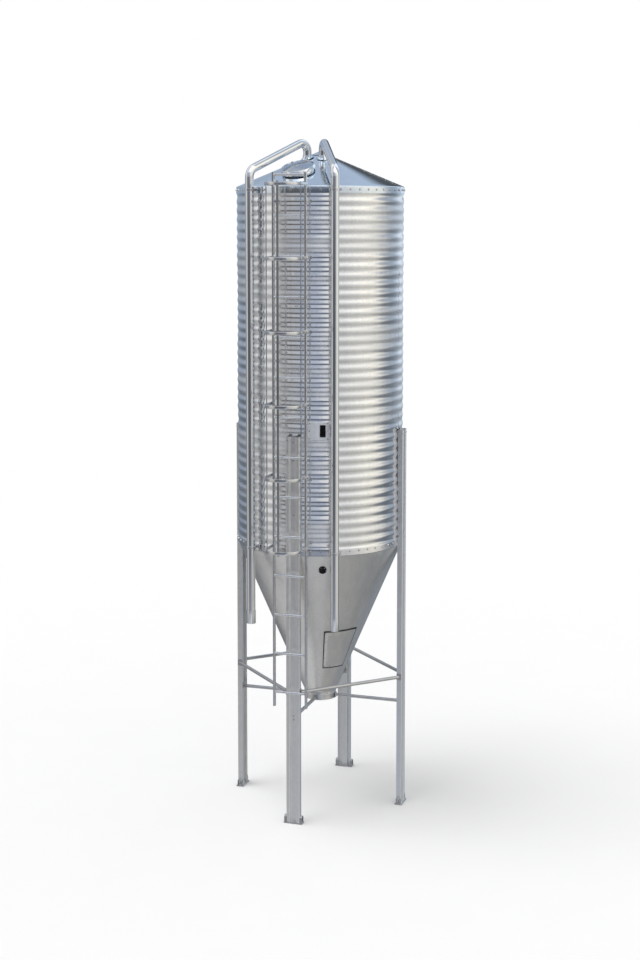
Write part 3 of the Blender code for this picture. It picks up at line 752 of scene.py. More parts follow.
wall_zinc = zinc_finish("wall_zinc", (0.68, 0.69, 0.70), (0.88, 0.88, 0.89), (0.08, 0.16),
                        relief=0.03, waves=0.009)
plate_zinc = zinc_finish("plate_zinc", (0.74, 0.76, 0.79), (0.90, 0.91, 0.93), (0.50, 0.64))
roof_zinc = zinc_finish("roof_zinc", (0.64, 0.70, 0.76), (0.82, 0.88, 0.94), (0.06, 0.12),
                        relief=0.02)
# Painted reflection: the lid's zinc is a darker blue than the roof's, standing in for the darker sky
# it mirrors.
lid_zinc_painted_reflection = zinc_finish("lid_zinc_painted_reflection", (0.40, 0.45, 0.52), (0.60, 0.66, 0.74), (0.14, 0.24),
                       relief=0.02)
# Painted highlight: the zinc of the manhole's neck and rim is paler than the roof's and the lid's,
# as if brightly lit.
rim_zinc_painted_highlight = zinc_finish("rim_zinc_painted_highlight", (0.76, 0.79, 0.83), (0.92, 0.94, 0.96), (0.14, 0.24),
                       relief=0.02)
hopper_zinc = zinc_finish("hopper_zinc", (0.60, 0.60, 0.60), (0.71, 0.705, 0.70), (0.32, 0.42),
                          spangle=55.0, streaks=0.34)
profile_zinc = zinc_finish("profile_zinc", (0.82, 0.815, 0.80), (0.93, 0.925, 0.91),
                           (0.28, 0.38), spangle=24.0, grain=(40.0, 40.0, 3.0), relief=0.008)
foot_zinc = zinc_finish("foot_zinc", (0.44, 0.44, 0.44), (0.66, 0.66, 0.65), (0.30, 0.46),
                        spangle=90.0)
brace_zinc = zinc_finish("brace_zinc", (0.42, 0.42, 0.43), (0.62, 0.62, 0.62), (0.32, 0.46),
                         spangle=90.0)
bar_zinc = zinc_finish("bar_zinc", (0.54, 0.55, 0.56), (0.78, 0.78, 0.79), (0.16, 0.30),
                       spangle=110.0)
bolt_zinc = zinc_finish("bolt_zinc", (0.50, 0.50, 0.51), (0.78, 0.77, 0.75), (0.22, 0.36),
                        spangle=240.0, relief=0.02)
bright_steel = pipe_finish("bright_steel", (0.66, 0.67, 0.69), (0.84, 0.85, 0.86), (0.07, 0.16))
seal_rubber = dark_finish("seal_rubber", (0.022, 0.022, 0.024), (0.055, 0.055, 0.058),
                          (0.62, 0.80), grain=700.0, relief=0.10, gloss=0.25)
window_black = dark_finish("window_black", (0.003, 0.003, 0.003), (0.008, 0.008, 0.009),
                           (0.12, 0.26), grain=300.0, relief=0.01, gloss=0.12)


# Repeated and bent parts

corrugated_ring = corrugated_ring_group()
fasteners = fastener_group()
flat_bar = flat_bar_group()
round_tube = tube_group()


def bolts(places, size, sides=6, taper=0.9, plate=0.0018):
    """A mesh of fasteners at (point, outward) places."""
    mesh = bpy.data.meshes.new("points")
    mesh.from_pydata([tuple(point) for point, _ in places], [], [])
    outward = mesh.attributes.new("outward", "FLOAT_VECTOR", "POINT")
    outward.data.foreach_set("vector", [c for _, way in places for c in way])
    radius, height, washer = size
    return run_group(fasteners, mesh, bolt_zinc, {
        "Head Sides": sides, "Head Radius": radius, "Head Height": height, "Head Taper": taper,
        "Washer Radius": washer, "Washer Height": plate})


def rivets(places, radius):
    return bolts(places, (radius, 0.0022, radius * 1.35), sides=10, taper=0.55, plate=0.0006)


def turned_places(places, turn):
    return [(turn @ point, turn @ way) for point, way in places]


def tube(points, radius, sides, copies=1, spacing=0.1, wall=0.0):
    return run_group(round_tube, path_mesh(points), bar_zinc, {
        "Radius": radius, "Sides": sides, "Closed Ends": not wall, "Copies": copies,
        "Spacing": spacing}, wall)


def add_fasteners(name, *meshes):
    add_piece(name, meshes, bolt_zinc)


# Bin

def make_wall():
    """The five corrugated rings, the bolts of their sheets' seams and the rivets between them."""
    seam_places, joint_places = [], []
    for ring in range(RINGS):
        is_top, is_base = ring == 0, ring == RINGS - 1
        first = ring * CRESTS_PER_RING
        last = min(first + CRESTS_PER_RING, CRESTS)
        top = EAVE_Z if is_top else crest_z(first - 0.5) + RING_LAP
        low = WALL_BASE_Z if is_base else crest_z(last - 0.5) - RING_LAP
        radius = WALL_R - (RING_TUCK if ring % 2 else 0.0)
        turn = RING_TURNS[ring % 2]
        steps_per_crest = 12
        mesh = run_group(corrugated_ring, None, wall_zinc, {
            "Crest Radius": radius, "Depth": WALL_R - VALLEY_R, "Pitch": CREST_PITCH,
            "Crest Height": FIRST_CREST_Z, "Bottom": low, "Top": top,
            "Bottom Band": BASE_BAND if is_base else NO_BAND,
            "Top Band": TOP_BAND if is_top else NO_BAND, "Band Turn": BAND_TURN,
            "Sheets": SHEETS_PER_RING, "Lap": math.radians(SHEET_LAP), "Gauge": WALL_GAUGE,
            "Turn": math.radians(turn), "Steps Around": 48,
            "Steps Up": round(steps_per_crest * (top - low) / CREST_PITCH) + 1}, wall=WALL_GAUGE)
        add_piece(f"corrugated_ring_{ring + 1}", [mesh], wall_zinc,
                  [f"wall_ring_{ring + 1}"])
        for sheet in range(SHEETS_PER_RING):
            azimuth = turn + 360.0 / SHEETS_PER_RING * sheet + SHEET_LAP / 2
            seam_places += [round_place(radius, azimuth, crest_z(index))
                            for index in range(first, last, 2)]
        if not is_top:
            azimuths = [6.0 + 360.0 / JOINT_RIVETS * k for k in range(JOINT_RIVETS)]
            z = crest_z(first - 0.5)
            joint_places += [round_place(VALLEY_R - 0.0005, azimuth, z) for azimuth in azimuths
                             if leg_distance(azimuth) > LEG_CLEARANCE or z > LEG_TOP_Z]
    add_piece("wall_bolts", [bolts(seam_places, SEAM_BOLT), rivets(joint_places, SHEET_RIVET)],
              wall_zinc)


def make_band_bolts():
    """The bolts round the eave and round the band under the lowest ring."""
    azimuths = [BAND_BOLT_START + 360.0 * k / BAND_BOLTS for k in range(BAND_BOLTS)]
    places = [round_place(ROOF_R, azimuth, EAVE_Z - 0.037) for azimuth in azimuths]
    places += [round_place(WALL_R - 0.0006, azimuth, WALL_BASE_Z + 0.046) for azimuth in azimuths
               if leg_distance(azimuth) >= LEG_CLEARANCE]
    add_fasteners("band_bolts", bolts(places, BAND_BOLT))


def cut_holes(mesh, cutters):
    """Cut closed shapes out of a mesh."""
    thing = new_object("work", mesh)
    tools = [new_object("cutter", cutter) for cutter in cutters]
    for tool in tools:
        modifier = thing.modifiers.new("hole", "BOOLEAN")
        modifier.object = tool
        modifier.operation = "DIFFERENCE"
        modifier.solver = "EXACT"
    result = plain_mesh(thing)
    for tool in tools:
        bpy.data.objects.remove(tool, do_unlink=True)
    return result


def plug(radius, half, matrix):
    """A closed round shape to cut a hole with."""
    return lathe([(0.0, -half), (radius, -half), (radius, half), (0.0, half)], 48, matrix,
                 closed=False)


def roof_profile():
    """From under the cap down the slope, round the eave and down the skirt to its rolled edge."""
    slope = math.degrees(math.atan(ROOF_SLOPE))
    eave = arc_points((ROOF_R - EAVE_BEND, ROOF_EDGE_Z - EAVE_BEND), EAVE_BEND, 90.0 - slope, 0.0, 6)
    start_r, start_z = eave[0]
    inner_r, steps = 0.030, 14
    radii = [inner_r + (start_r - inner_r) * k / steps for k in range(steps)]
    low = EAVE_Z - SKIRT_DEPTH
    roll = 0.003
    return ([(radius, start_z + (start_r - radius) * ROOF_SLOPE) for radius in radii] + eave
            + [(ROOF_R, EAVE_Z - 0.04), (ROOF_R, low + 0.008)]
            + arc_points((ROOF_R - roll, low + roll), roll, 0.0, -60.0, 3)[1:])


def pipe_seat(azimuth):
    """Where a pipe enters the roof."""
    return polar(PIPE_DROP, azimuth, roof_z(PIPE_DROP))


def pipe_flashing(azimuth):
    """A collar round a pipe, whose foot lies along the roof and whose neck stands upright."""
    r = PIPE_R
    section = [(r + 0.0008, 0.030), (r + 0.0035, 0.031), (r + 0.006, 0.012), (r + 0.016, 0.004),
               (r + 0.030, 0.002), (r + 0.030, 0.0006), (r + 0.0008, 0.0006)]
    leaning = standing(pipe_seat(azimuth), roof_normal(azimuth))
    upright = Matrix.Translation(pipe_seat(azimuth))
    flashing = lathe(section, 40)
    for vert in flashing.vertices:
        share = min(max((vert.co.z - 0.004) / 0.02, 0.0), 1.0)
        vert.co = (leaning @ vert.co).lerp(upright @ vert.co, share)
    return flashing


def manhole_frame():
    return standing(polar(MANHOLE_RADIUS, MANHOLE_AZIMUTH, roof_z(MANHOLE_RADIUS)),
                    roof_normal(MANHOLE_AZIMUTH))


def make_roof():
    seat = manhole_frame()
    cutters = [plug(NECK_R + 0.002, 0.2, seat)]
    cutters += [plug(PIPE_R + 0.002, 0.1, Matrix.Translation(pipe_seat(azimuth)))
                for azimuth in PIPES.values()]
    sheets = lapped_sheets(roof_profile(), ROOF_SHEETS, 26, ROOF_LAP, ROOF_GAUGE, ROOF_TURN)
    sheets = cut_holes(sheets, cutters)
    r = ROOF_CAP_R
    cap = [(radius, roof_z(radius) + lift) for radius, lift in (
        (0.0, 0.0030), (r - 0.004, 0.0030), (r, 0.0016), (r, 0.0004), (r - 0.006, 0.0004),
        (0.0, 0.0006))]
    flashings = [pipe_flashing(azimuth) for azimuth in PIPES.values()]
    add_piece("roof_sheets", [sheets, lathe(cap, 64, closed=False)] + flashings, roof_zinc,
              ["roof"])
    lid_clearance, pipe_clearance = LID_R + 0.02, 0.10
    inner_r, pitch, on_seam, round_cap = 0.20, 0.085, 9, 8
    places = []
    for sheet in range(ROOF_SHEETS):
        azimuth = ROOF_TURN + 360.0 / ROOF_SHEETS * sheet + 0.4 * ROOF_LAP
        for k in range(on_seam):
            radius = inner_r + pitch * k
            point = polar(radius, azimuth, roof_z(radius))
            clear = (point - seat.translation).length > lid_clearance
            if clear and all((point - pipe_seat(pipe)).length > pipe_clearance
                             for pipe in PIPES.values()):
                places.append((point, roof_normal(azimuth)))
    radius = r - 0.014
    for k in range(round_cap):
        azimuth = 360.0 / round_cap * (k + 0.5)
        places.append((polar(radius, azimuth, roof_z(radius) + 0.003), roof_normal(azimuth)))
    add_fasteners("roof_rivets", rivets(places, ROOF_RIVET))


def make_manhole():
    """The neck, and on it the lid: a low dome held in a raised rim by four clips."""
    seat = manhole_frame()
    bead = NECK_WALL / 2
    neck = [(NECK_R - NECK_WALL, NECK_HEIGHT - 0.001)]
    neck += arc_points((NECK_R - bead, NECK_HEIGHT - bead), bead, 180, 0, 6)
    neck += [(NECK_R, 0.012), (NECK_R + 0.004, 0.004), (NECK_R + 0.0045, 0.0015), (NECK_R, 0.0010),
             (NECK_R, -NECK_BELOW), (NECK_R - NECK_WALL, -NECK_BELOW)]
    # The neck is in the paler zinc with the painted highlight.
    add_piece("manhole_collar", [lathe(neck, 64, seat)], rim_zinc_painted_highlight,
              ["manhole_neck"])

    base = NECK_HEIGHT + 0.0005
    crown = base + LID_RISE
    low = base - LID_SKIRT
    dome_r, dome_rise = 0.181, 0.022
    dome = [(dome_r * k / 10,
             crown - 0.0080 + dome_rise * math.cos(math.pi / 2 * (k / 10) ** 1.2))
            for k in range(11)]
    dome += [(dome_r + 0.0015, crown - 0.0086), (dome_r + 0.0015, base + SEATING),
             (0.0, base + SEATING)]
    # The lid's darker blue zinc is a painted reflection.
    add_piece("manhole_cover", [lathe(dome, 72, seat, closed=False)], lid_zinc_painted_reflection,
              ["manhole_lid"])

    rim_r = LID_R - 0.0005
    rim = [(dome_r + 0.0020, base + 0.0020), (dome_r + 0.0020, crown - 0.0060)]
    rim += arc_points((dome_r + 0.0062, crown - 0.0055), 0.0042, 180, 35, 8)
    rim += [(rim_r - 0.0008, low + 0.006)]
    rim += arc_points((rim_r - 0.0035, low + 0.0035), 0.0035, 20, -180, 8)
    rim += [(dome_r + 0.0060, base - 0.001)]
    # The rim is in the paler zinc with the painted highlight.
    add_piece("manhole_rim", [lathe(rim, 72, seat)], rim_zinc_painted_highlight)

    over = [(dome_r - 0.014, crown - 0.0010), (dome_r + 0.0060, crown + 0.0010)]
    down = [(LID_R - 0.0075, crown - 0.0050), (LID_R + 0.0035, low),
            (NECK_R + 0.012, low - 0.012), (NECK_R + 0.0025, low - 0.012)]
    thick, slant, half_width = 0.0022, 0.3, 0.011
    inner = [(x - thick * slant, z - thick) for x, z in over]
    inner += [(x - thick, z - thick * slant) for x, z in down]
    clips, screws = [], []
    for k in range(4):
        place = seat @ turned(45.0 + 90.0 * k)
        clips.append(extruded(over + down + inner[::-1], -half_width, half_width,
                              place @ ON_EDGE))
        screws.append((place @ Vector((dome_r - 0.0060, 0.0, crown + 0.0004)),
                       seat.to_3x3() @ UP))
    add_fasteners("manhole_clips", *clips, bolts(screws, CLIP_SCREW))


# Hopper

def make_hopper():
    """The cone with the flange that goes up inside the lowest ring, and rivets at its seams."""
    turn = 0.004
    profile = [(FLANGE_R, FLANGE_TOP_Z), (FLANGE_R, WALL_BASE_Z + 0.05),
               (FLANGE_R, HOPPER_TOP_Z + turn), (FLANGE_R + turn, HOPPER_TOP_Z + 0.0002),
               (HOPPER_TOP_R - turn, HOPPER_TOP_Z),
               (HOPPER_TOP_R - turn * 0.3, HOPPER_TOP_Z - turn * 0.5)]
    top, steps = HOPPER_TOP_Z - turn, 24
    heights = [top - (top - HOPPER_Z) * k / steps for k in range(steps + 1)]
    profile += [(hopper_radius(z), z) for z in heights]
    mesh = lapped_sheets(profile, HOPPER_SHEETS, 40, HOPPER_LAP, HOPPER_GAUGE, HOPPER_SEAM)
    add_piece("hopper_sheets", [mesh], hopper_zinc, ["hopper"])
    first_z, pitch, on_seam, from_edge = HOPPER_Z + 0.06, 0.080, 22, 0.012
    places = []
    for sheet in range(HOPPER_SHEETS):
        azimuth = HOPPER_SEAM + 360.0 / HOPPER_SHEETS * sheet
        for k in range(on_seam):
            z = first_z + pitch * k
            shift = math.degrees(from_edge / hopper_radius(z))
            places.append((polar(hopper_radius(z), azimuth + shift, z), hopper_normal(azimuth)))
    add_fasteners("hopper_rivets", rivets(places, SHEET_RIVET))


def make_outlet():
    """The collar under the hopper, with a bead round its top and a lip at its foot."""
    r, low, top = HOPPER_R, COLLAR_Z, HOPPER_Z - 0.0005
    bead = 0.003
    inner_r = r - 0.011
    ring = [(r - 0.004, top), (r - 0.004, top - 0.022)]
    ring += arc_points((r - bead, top - 0.026), bead, 90, 0, 4)
    ring += [(r, top - 0.034)]
    ring += arc_points((r - bead, top - 0.034), bead, 0, -90, 4)
    ring += [(r - 0.006, low + 0.026), (r - 0.006, low + 0.010), (r - 0.0005, low + 0.0085),
             (r, low + 0.007), (r, low + 0.001), (r - 0.001, low), (r - COLLAR_WALL, low),
             (r - COLLAR_WALL, low + 0.004), (inner_r, low + 0.008), (inner_r, top)]
    add_piece("outlet_ring", [lathe(ring, 72)], hopper_zinc,
              ["outlet_collar"])
    count = 12
    places = [round_place(r - 0.0045, 360.0 / count * (k + 0.5), top - 0.011)
              for k in range(count)]
    add_fasteners("outlet_bolts", bolts(places, SEAM_BOLT))


def make_hatch():
    """The access hatch: a gasket, a cover with a raised middle, and screws round its edge."""
    surface = hopper_patch(HATCH_AZIMUTHS, HATCH_Z)
    corners = (0.05, 0.04)
    edge = 1.0 - 2.0 * HATCH_SEAL / (HATCH_Z[1] - HATCH_Z[0])
    gasket = [(edge - 0.012, 0.0008), (1.0, 0.0008), (1.0, 0.0032), (0.994, 0.0050),
              (0.985, 0.0060), (edge + 0.02, 0.0060), (edge, 0.0054), (edge - 0.012, 0.0040)]
    add_piece("hatch_gasket", [pad_on(surface, gasket, corners, ring_only=True)], seal_rubber,
              ["hatch_seal"])
    cover = [(0.2, 0.0045), (0.45, 0.0045), (0.7, 0.0045), (edge - 0.012, 0.0045),
             (edge - 0.004, 0.0050), (edge, 0.0058), (edge - 0.006, 0.0068),
             (edge - 0.016, 0.0070), (edge - 0.12, 0.0070), (edge - 0.135, 0.0082),
             (edge - 0.15, 0.0086), (0.60, 0.0088), (0.40, 0.0088), (0.20, 0.0088)]
    add_piece("hatch_cover", [pad_on(surface, cover, corners)], hopper_zinc,
              ["hatch_panel"])
    reach = edge - 0.07
    spots = [(x * reach, y * reach) for x in (-1.0, -0.5, 0.0, 0.5, 1.0) for y in (-1.0, 1.0)]
    spots += [(x * reach, y * reach) for y in (-0.5, 0.0, 0.5) for x in (-1.0, 1.0)]
    screws = [patch_place(surface, x, y, 0.0070) for x, y in spots]
    add_fasteners("hatch_screws", bolts(screws, HATCH_SCREW))


def make_level_window():
    """A plate on the crests of the wall, and on it a black housing with a sunk window."""
    surface = wall_patch(PLATE_AZIMUTHS, PLATE_Z)
    plate = [(0.3, 0.0006), (0.6, 0.0006), (0.96, 0.0006), (1.0, 0.0012), (1.0, 0.0030),
             (0.985, 0.0045), (0.96, 0.0048), (0.6, 0.0048), (0.3, 0.0048)]
    add_piece("level_backplate", [pad_on(surface, plate, (0.08, 0.09))], plate_zinc,
              ["level_plate"])
    screws = [patch_place(surface, x, y, 0.0046) for x in (-0.86, 0.86) for y in (-0.86, 0.0, 0.86)]
    add_fasteners("level_screws", bolts(screws, PLATE_SCREW))
    housing = [(0.97, 0.0052), (1.0, 0.0056), (1.0, 0.0140), (0.985, 0.0160), (0.95, 0.0170),
               (0.80, 0.0170), (0.77, 0.0155), (0.755, 0.0125), (0.70, 0.0122), (0.35, 0.0124)]
    add_piece("level_glass", [pad_on(wall_patch(WINDOW_AZIMUTHS, WINDOW_Z), housing, (0.16, 0.08))],
              window_black, ["level_window"])


def make_sight_glass():
    """A round glass low in its flanged ring, with six rivets."""
    outward = hopper_normal(GLASS_AZIMUTH)
    seat = standing(polar(hopper_radius(GLASS_Z), GLASS_AZIMUTH, GLASS_Z), outward)
    r, bead = GLASS_R, 0.004
    profile = [(0.0, 0.0008), (r - 0.001, 0.0008), (r, 0.002), (r, 0.011)]
    profile += arc_points((r - bead, 0.011), bead, 0, 90, 5)[1:]
    profile += [(r - 0.011, 0.0150), (r - 0.014, 0.0135), (r - 0.015, 0.0105),
                (r - 0.022, 0.0112), (0.012, 0.0128), (0.0, 0.0130)]
    add_piece("sight_glass_bull", [lathe(profile, 48, seat, closed=False)], window_black,
              ["sight_glass"])
    ring = arc_points((0.0, 0.0), r - 0.0075, 0.0, 300.0, 5)
    screws = [(seat @ Vector((x, y, 0.0149)), outward) for x, y in ring]
    add_fasteners("sight_glass_screws", rivets(screws, GLASS_RIVET))


# Legs and braces

def leg_line():
    """Outer line of the folded leg profile, for the leg on the -Y side."""
    lip, edge, web = LEG_HALF, LEG_WEB_HALF, LEG_WEB_HALF - 0.006
    corners = ((-lip, LEG_INNER), (-lip, LEG_OUTER), (-edge, LEG_OUTER), (-web, LEG_WEB),
               (web, LEG_WEB), (edge, LEG_OUTER), (lip, LEG_OUTER), (lip, LEG_INNER))
    return rounded_path([Vector((x, -out, 0.0)) for x, out in corners],
                        (0.009, 0.007, 0.005, 0.005, 0.007, 0.009), 5)


def make_legs():
    line = leg_line()
    inner = []
    for index, point in enumerate(line):
        run = (line[min(index + 1, len(line) - 1)] - line[max(index - 1, 0)]).normalized()
        inner.append(point + Vector((-run.y, run.x, 0.0)) * LEG_SHEET)
    cap_half = LEG_WEB_HALF - 0.008
    leg = join_meshes([
        extruded(line + inner[::-1], FOOT_PLATE + 0.0005, LEG_TOP_Z),
        soft_box((-cap_half, -LEG_WEB + 0.001, LEG_TOP_Z - 0.004),
                 (cap_half, -LEG_INNER - 0.008, LEG_TOP_Z - 0.0005), 0.0008)])
    outward = Vector((0.0, -1.0, 0.0))
    levels = [crest_z(index) for index in WEB_BOLT_CRESTS] + [SPOKE_Z - 0.022, SPOKE_Z + 0.022]
    web_places = [(Vector((0.0, -LEG_WEB, z)), outward) for z in levels]
    lip_places = [(Vector((x, -LEG_OUTER, LEG_TOP_Z - 0.040)), outward) for x in (-0.060, 0.060)]
    for name, azimuth in LEGS.items():
        turn = turned(azimuth)
        add_piece(f"folded_leg_{name}", [moved(leg, turn)], profile_zinc,
                  [f"leg_{name}"])
        add_fasteners(f"leg_bolts_{name}", bolts(turned_places(web_places, turn), LEG_BOLT),
                      bolts(turned_places(lip_places, turn), SEAM_BOLT))


def make_feet():
    """A plate with a weld round the leg, and at each side a bent lug over an anchor bolt."""
    middle_y = -(LEG_OUTER + LEG_INNER) / 2
    lug_x = (LEG_HALF + 0.0015 + FOOT_HALF - 0.002) / 2
    bend_z, bend_r, wall, half_length = LUG_HEIGHT - 0.030, 0.026, 0.007, 0.0125
    arches = []
    for r in (bend_r - wall / 2, bend_r + wall / 2):
        arches.append([(middle_y - r, 0.008)] + arc_points((middle_y, bend_z), r, 180.0, 0.0, 10)
                      + [(middle_y + r, 0.008)])
    outline = arches[0] + arches[1][::-1]
    parts = [soft_box((-FOOT_HALF, -FOOT_OUT, 0.0), (FOOT_HALF, -FOOT_IN, FOOT_PLATE), 0.0025),
             tube([Vector((p.x, p.y, FOOT_PLATE + 0.001)) for p in leg_line()], 0.0035, 8)]
    nuts, studs = [], []
    for x in (-lug_x, lug_x):
        parts.append(extruded(outline, x - half_length, x + half_length, ACROSS))
        nuts.append((Vector((x, middle_y, FOOT_PLATE)), UP))
        studs.append((Vector((x, middle_y, FOOT_PLATE + 0.012)), UP))
    foot = join_meshes(parts)
    anchors = join_meshes([bolts(nuts, ANCHOR_NUT, taper=0.97, plate=0.003),
                           bolts(studs, ANCHOR_STUD, sides=12, plate=0.001)])
    for name, azimuth in LEGS.items():
        turn = turned(azimuth)
        add_piece(f"footing_{name}", [moved(foot, turn)], foot_zinc,
                  [f"foot_{name}"])
        add_fasteners(f"anchor_bolts_{name}", moved(anchors, turn))


def make_ring_braces():
    """The struts from leg to leg, with an end plate and two bolts on each leg's side."""
    x, y, z = LEG_HALF, BRACE_RADIUS - 0.002, RING_BRACE_Z
    plate, half = 0.0064, 0.038
    ends = (Vector((x + 0.006, -BRACE_RADIUS + 0.006, z)),
            Vector((BRACE_RADIUS - 0.006, -x - 0.006, z)))
    strut = join_meshes([
        tube(ends, BRACE_R, 24),
        soft_box((x + SEATING, -y - 0.027, z - half), (x + plate, -y + 0.029, z + half), 0.0015),
        soft_box((y - 0.029, -x - plate, z - half), (y + 0.027, -x - SEATING, z + half), 0.0015)])
    places = []
    for level in (z - 0.029, z + 0.029):
        places.append((Vector((x + plate, -y, level)), Vector((1.0, 0.0, 0.0))))
        places.append((Vector((y, -x - plate, level)), Vector((0.0, -1.0, 0.0))))
    hardware = bolts(places, STRUT_BOLT)
    names = list(LEGS)
    for name, following in zip(names, names[1:] + names[:1]):
        add_piece(f"ring_strut_{name}_{following}", [moved(strut, turned(LEGS[name]))], brace_zinc,
                  [f"ring_brace_{name}_{following}"])
    add_fasteners("ring_strut_bolts", *(moved(hardware, turned(leg)) for leg in LEGS.values()))


def make_outlet_braces():
    """The struts from the legs' webs to the outlet's collar."""
    inner, outer, z = HOPPER_R + 0.0015, LEG_WEB - LEG_SHEET - 0.0008, SPOKE_Z
    strut = join_meshes([
        tube([Vector((0.0, -outer + 0.003, z)), Vector((0.0, -inner - 0.003, z))], BRACE_R, 24),
        soft_box((-0.028, -outer, z - 0.034), (0.028, -outer + 0.005, z + 0.034), 0.0015),
        soft_box((-0.030, -inner - 0.005, z - 0.030), (0.030, -inner + 0.001, z + 0.030), 0.0015)])
    places = [(Vector((x, -inner - 0.005, z)), Vector((0.0, -1.0, 0.0))) for x in (-0.0245, 0.0245)]
    hardware = bolts(places, OUTLET_STRUT_BOLT)
    for name, azimuth in LEGS.items():
        add_piece(f"outlet_strut_{name}", [moved(strut, turned(azimuth))], brace_zinc,
                  [f"outlet_brace_{name}"])
    add_fasteners("outlet_strut_bolts", *(moved(hardware, turned(leg)) for leg in LEGS.values()))


# Ladder and cage

# The feet of arms on the wall as (share, offset) from the underside over the rim to the middle.
ARM_FOOT = ((0.98, 0.0003), (1.0, 0.001), (1.0, 0.003), (0.96, 0.0036), (0.5, 0.0036))
CLAMP_FOOT = ((0.97, 0.0004), (1.0, 0.001), (1.0, 0.0032), (0.96, 0.0040), (0.5, 0.0040))


def wall_foot(azimuth, z, half_width, half_height, levels, radius=WALL_R):
    """The small curved foot with which an arm is held to the wall."""
    surface = wall_patch((azimuth - half_width, azimuth + half_width),
                         (z - half_height, z + half_height), radius)
    return pad_on(surface, levels, (0.2, 0.2))


def ladder_side(side, low, high, crests):
    """One stile with its arms to the wall, and the places of the arms' bolts."""
    x = side * STILE_X
    half_x, half_y, corner = STILE_WIDTH / 2, STILE_DEPTH / 2, 0.005
    section = [(x + a * half_x, -LADDER_Y + b * half_y)
               for a, b in soft_square(corner / half_x, corner / half_y, along=1, turn=4)]
    parts, places = [extruded(section, low, high)], []
    azimuth = math.degrees(math.asin(x / WALL_R))
    wall_y = math.sqrt(WALL_R ** 2 - x ** 2)
    arm_x = x - side * 0.004
    for z in [crest_z(crest) for crest in crests]:
        parts.append(soft_box((arm_x - 0.003, -LADDER_Y, z - 0.016),
                              (arm_x + 0.003, -wall_y - 0.001, z + 0.016), 0.001))
        parts.append(wall_foot(azimuth, z, 1.3, 0.018, ARM_FOOT))
        places += [round_place(WALL_R + 0.0034, azimuth + shift, z) for shift in (-0.75, 0.75)]
    return parts, places


def make_ladder():
    """Two lengths of ladder that meet between two rungs, and the splice plates there."""
    rung_x = STILE_X - STILE_WIDTH / 2
    weld = lathe([(RUNG_R - 0.001, 0.0), (RUNG_R + 0.004, 0.0), (RUNG_R + 0.002, 0.0035),
                  (RUNG_R - 0.001, 0.006)], 18)
    lengths = {"lower": (LADDER_BASE_Z, LADDER_JOINT_Z - SEATING, 0),
               "upper": (LADDER_JOINT_Z + SEATING, LADDER_TOP_Z, LADDER_RUNGS)}
    for label, (low, high, first_rung) in lengths.items():
        first_z = FIRST_RUNG_Z + RUNG_PITCH * first_rung
        parts = [tube([Vector((-rung_x, -LADDER_Y, first_z)), Vector((rung_x, -LADDER_Y, first_z))],
                      RUNG_R, 18, LADDER_RUNGS, RUNG_PITCH)]
        places = []
        for side in (-1, 1):
            side_parts, side_places = ladder_side(side, low, high, LADDER_ARM_CRESTS[label])
            parts += side_parts
            places += side_places
            for k in range(LADDER_RUNGS):
                at = Vector((side * rung_x, -LADDER_Y, first_z + RUNG_PITCH * k))
                parts.append(moved(weld, standing(at, Vector((-side, 0.0, 0.0)))))
        add_piece(f"climbing_ladder_{label}", parts, bar_zinc,
                  [f"ladder_{label}"])
        add_fasteners(f"ladder_bolts_{label}", bolts(places, LADDER_BOLT))
    plates, places = [], []
    plate = 0.004
    for side in (-1, 1):
        face_x, back_x = side * (rung_x - plate), side * rung_x
        plates.append(soft_box((min(face_x, back_x), -LADDER_Y - 0.014, LADDER_JOINT_Z - 0.09),
                               (max(face_x, back_x), -LADDER_Y + 0.014, LADDER_JOINT_Z + 0.09),
                               0.001))
        places += [(Vector((face_x, -LADDER_Y, LADDER_JOINT_Z + dz)), Vector((-side, 0.0, 0.0)))
                   for dz in (-0.07, -0.03, 0.03, 0.07)]
    add_fasteners("ladder_splices", *plates, bolts(places, SPLICE_BOLT))


def make_cage():
    """Two lengths of cage: hoops of flat bar round the ladder, joined by three straps."""
    inside = STILE_X + STILE_WIDTH / 2 + SEATING
    middle, outside = inside + CAGE_FLAT / 2, inside + CAGE_FLAT
    hoops = HOOPS // 2
    arm_ys = (-LADDER_Y + STILE_DEPTH / 2, -LADDER_Y - 0.08)
    hoop = [Vector((middle, y, 0.0)) for y in arm_ys]
    hoop += [Vector((x, -CAGE_TURN_Y - y, 0.0))
             for x, y in arc_points((0.0, 0.0), middle, 0.0, 180.0, 28)]
    hoop += [Vector((-middle, y, 0.0)) for y in arm_ys[::-1]]
    base_z = CAGE_TOP_HOOP_Z - CAGE_PITCH * (HOOPS - 1)
    split_z = (base_z + CAGE_TOP_HOOP_Z) / 2
    lengths = {"upper": (split_z + SEATING, CAGE_TOP_HOOP_Z + CAGE_END, base_z + CAGE_PITCH * hoops),
               "lower": (base_z - CAGE_END, split_z - SEATING, base_z)}
    half, strap, sunk = STRAP_WIDTH / 2, 0.0045, 0.0008
    front = CAGE_TURN_Y + inside
    for label, (low, high, first_z) in lengths.items():
        parts = [run_group(flat_bar, path_mesh([p + UP * first_z for p in hoop]), bar_zinc, {
            "Across": CAGE_FLAT - 0.001, "Height": CAGE_HOOP_HEIGHT, "Edge": 0.002,
            "Copies": hoops, "Spacing": CAGE_PITCH})]
        for side in (-1, 1):
            x0, x1 = side * (inside + sunk), side * (inside + sunk - strap)
            parts.append(soft_box((min(x0, x1), -CAGE_TURN_Y - half, low),
                                  (max(x0, x1), -CAGE_TURN_Y + half, high), 0.0012))
        parts.append(soft_box((-half, -front - sunk, low), (half, -front + strap - sunk, high),
                              0.0012))
        places = [(Vector((side * (outside - 0.0006), y, first_z + CAGE_PITCH * k)),
                   Vector((side, 0.0, 0.0)))
                  for k in range(hoops) for side in (-1, 1) for y in (-CAGE_TURN_Y, -LADDER_Y)]
        add_piece(f"safety_cage_{label}", parts, bar_zinc, [f"cage_{label}"])
        add_fasteners(f"cage_bolts_{label}", bolts(places, CAGE_BOLT, sides=12, taper=0.7))


# Pipes

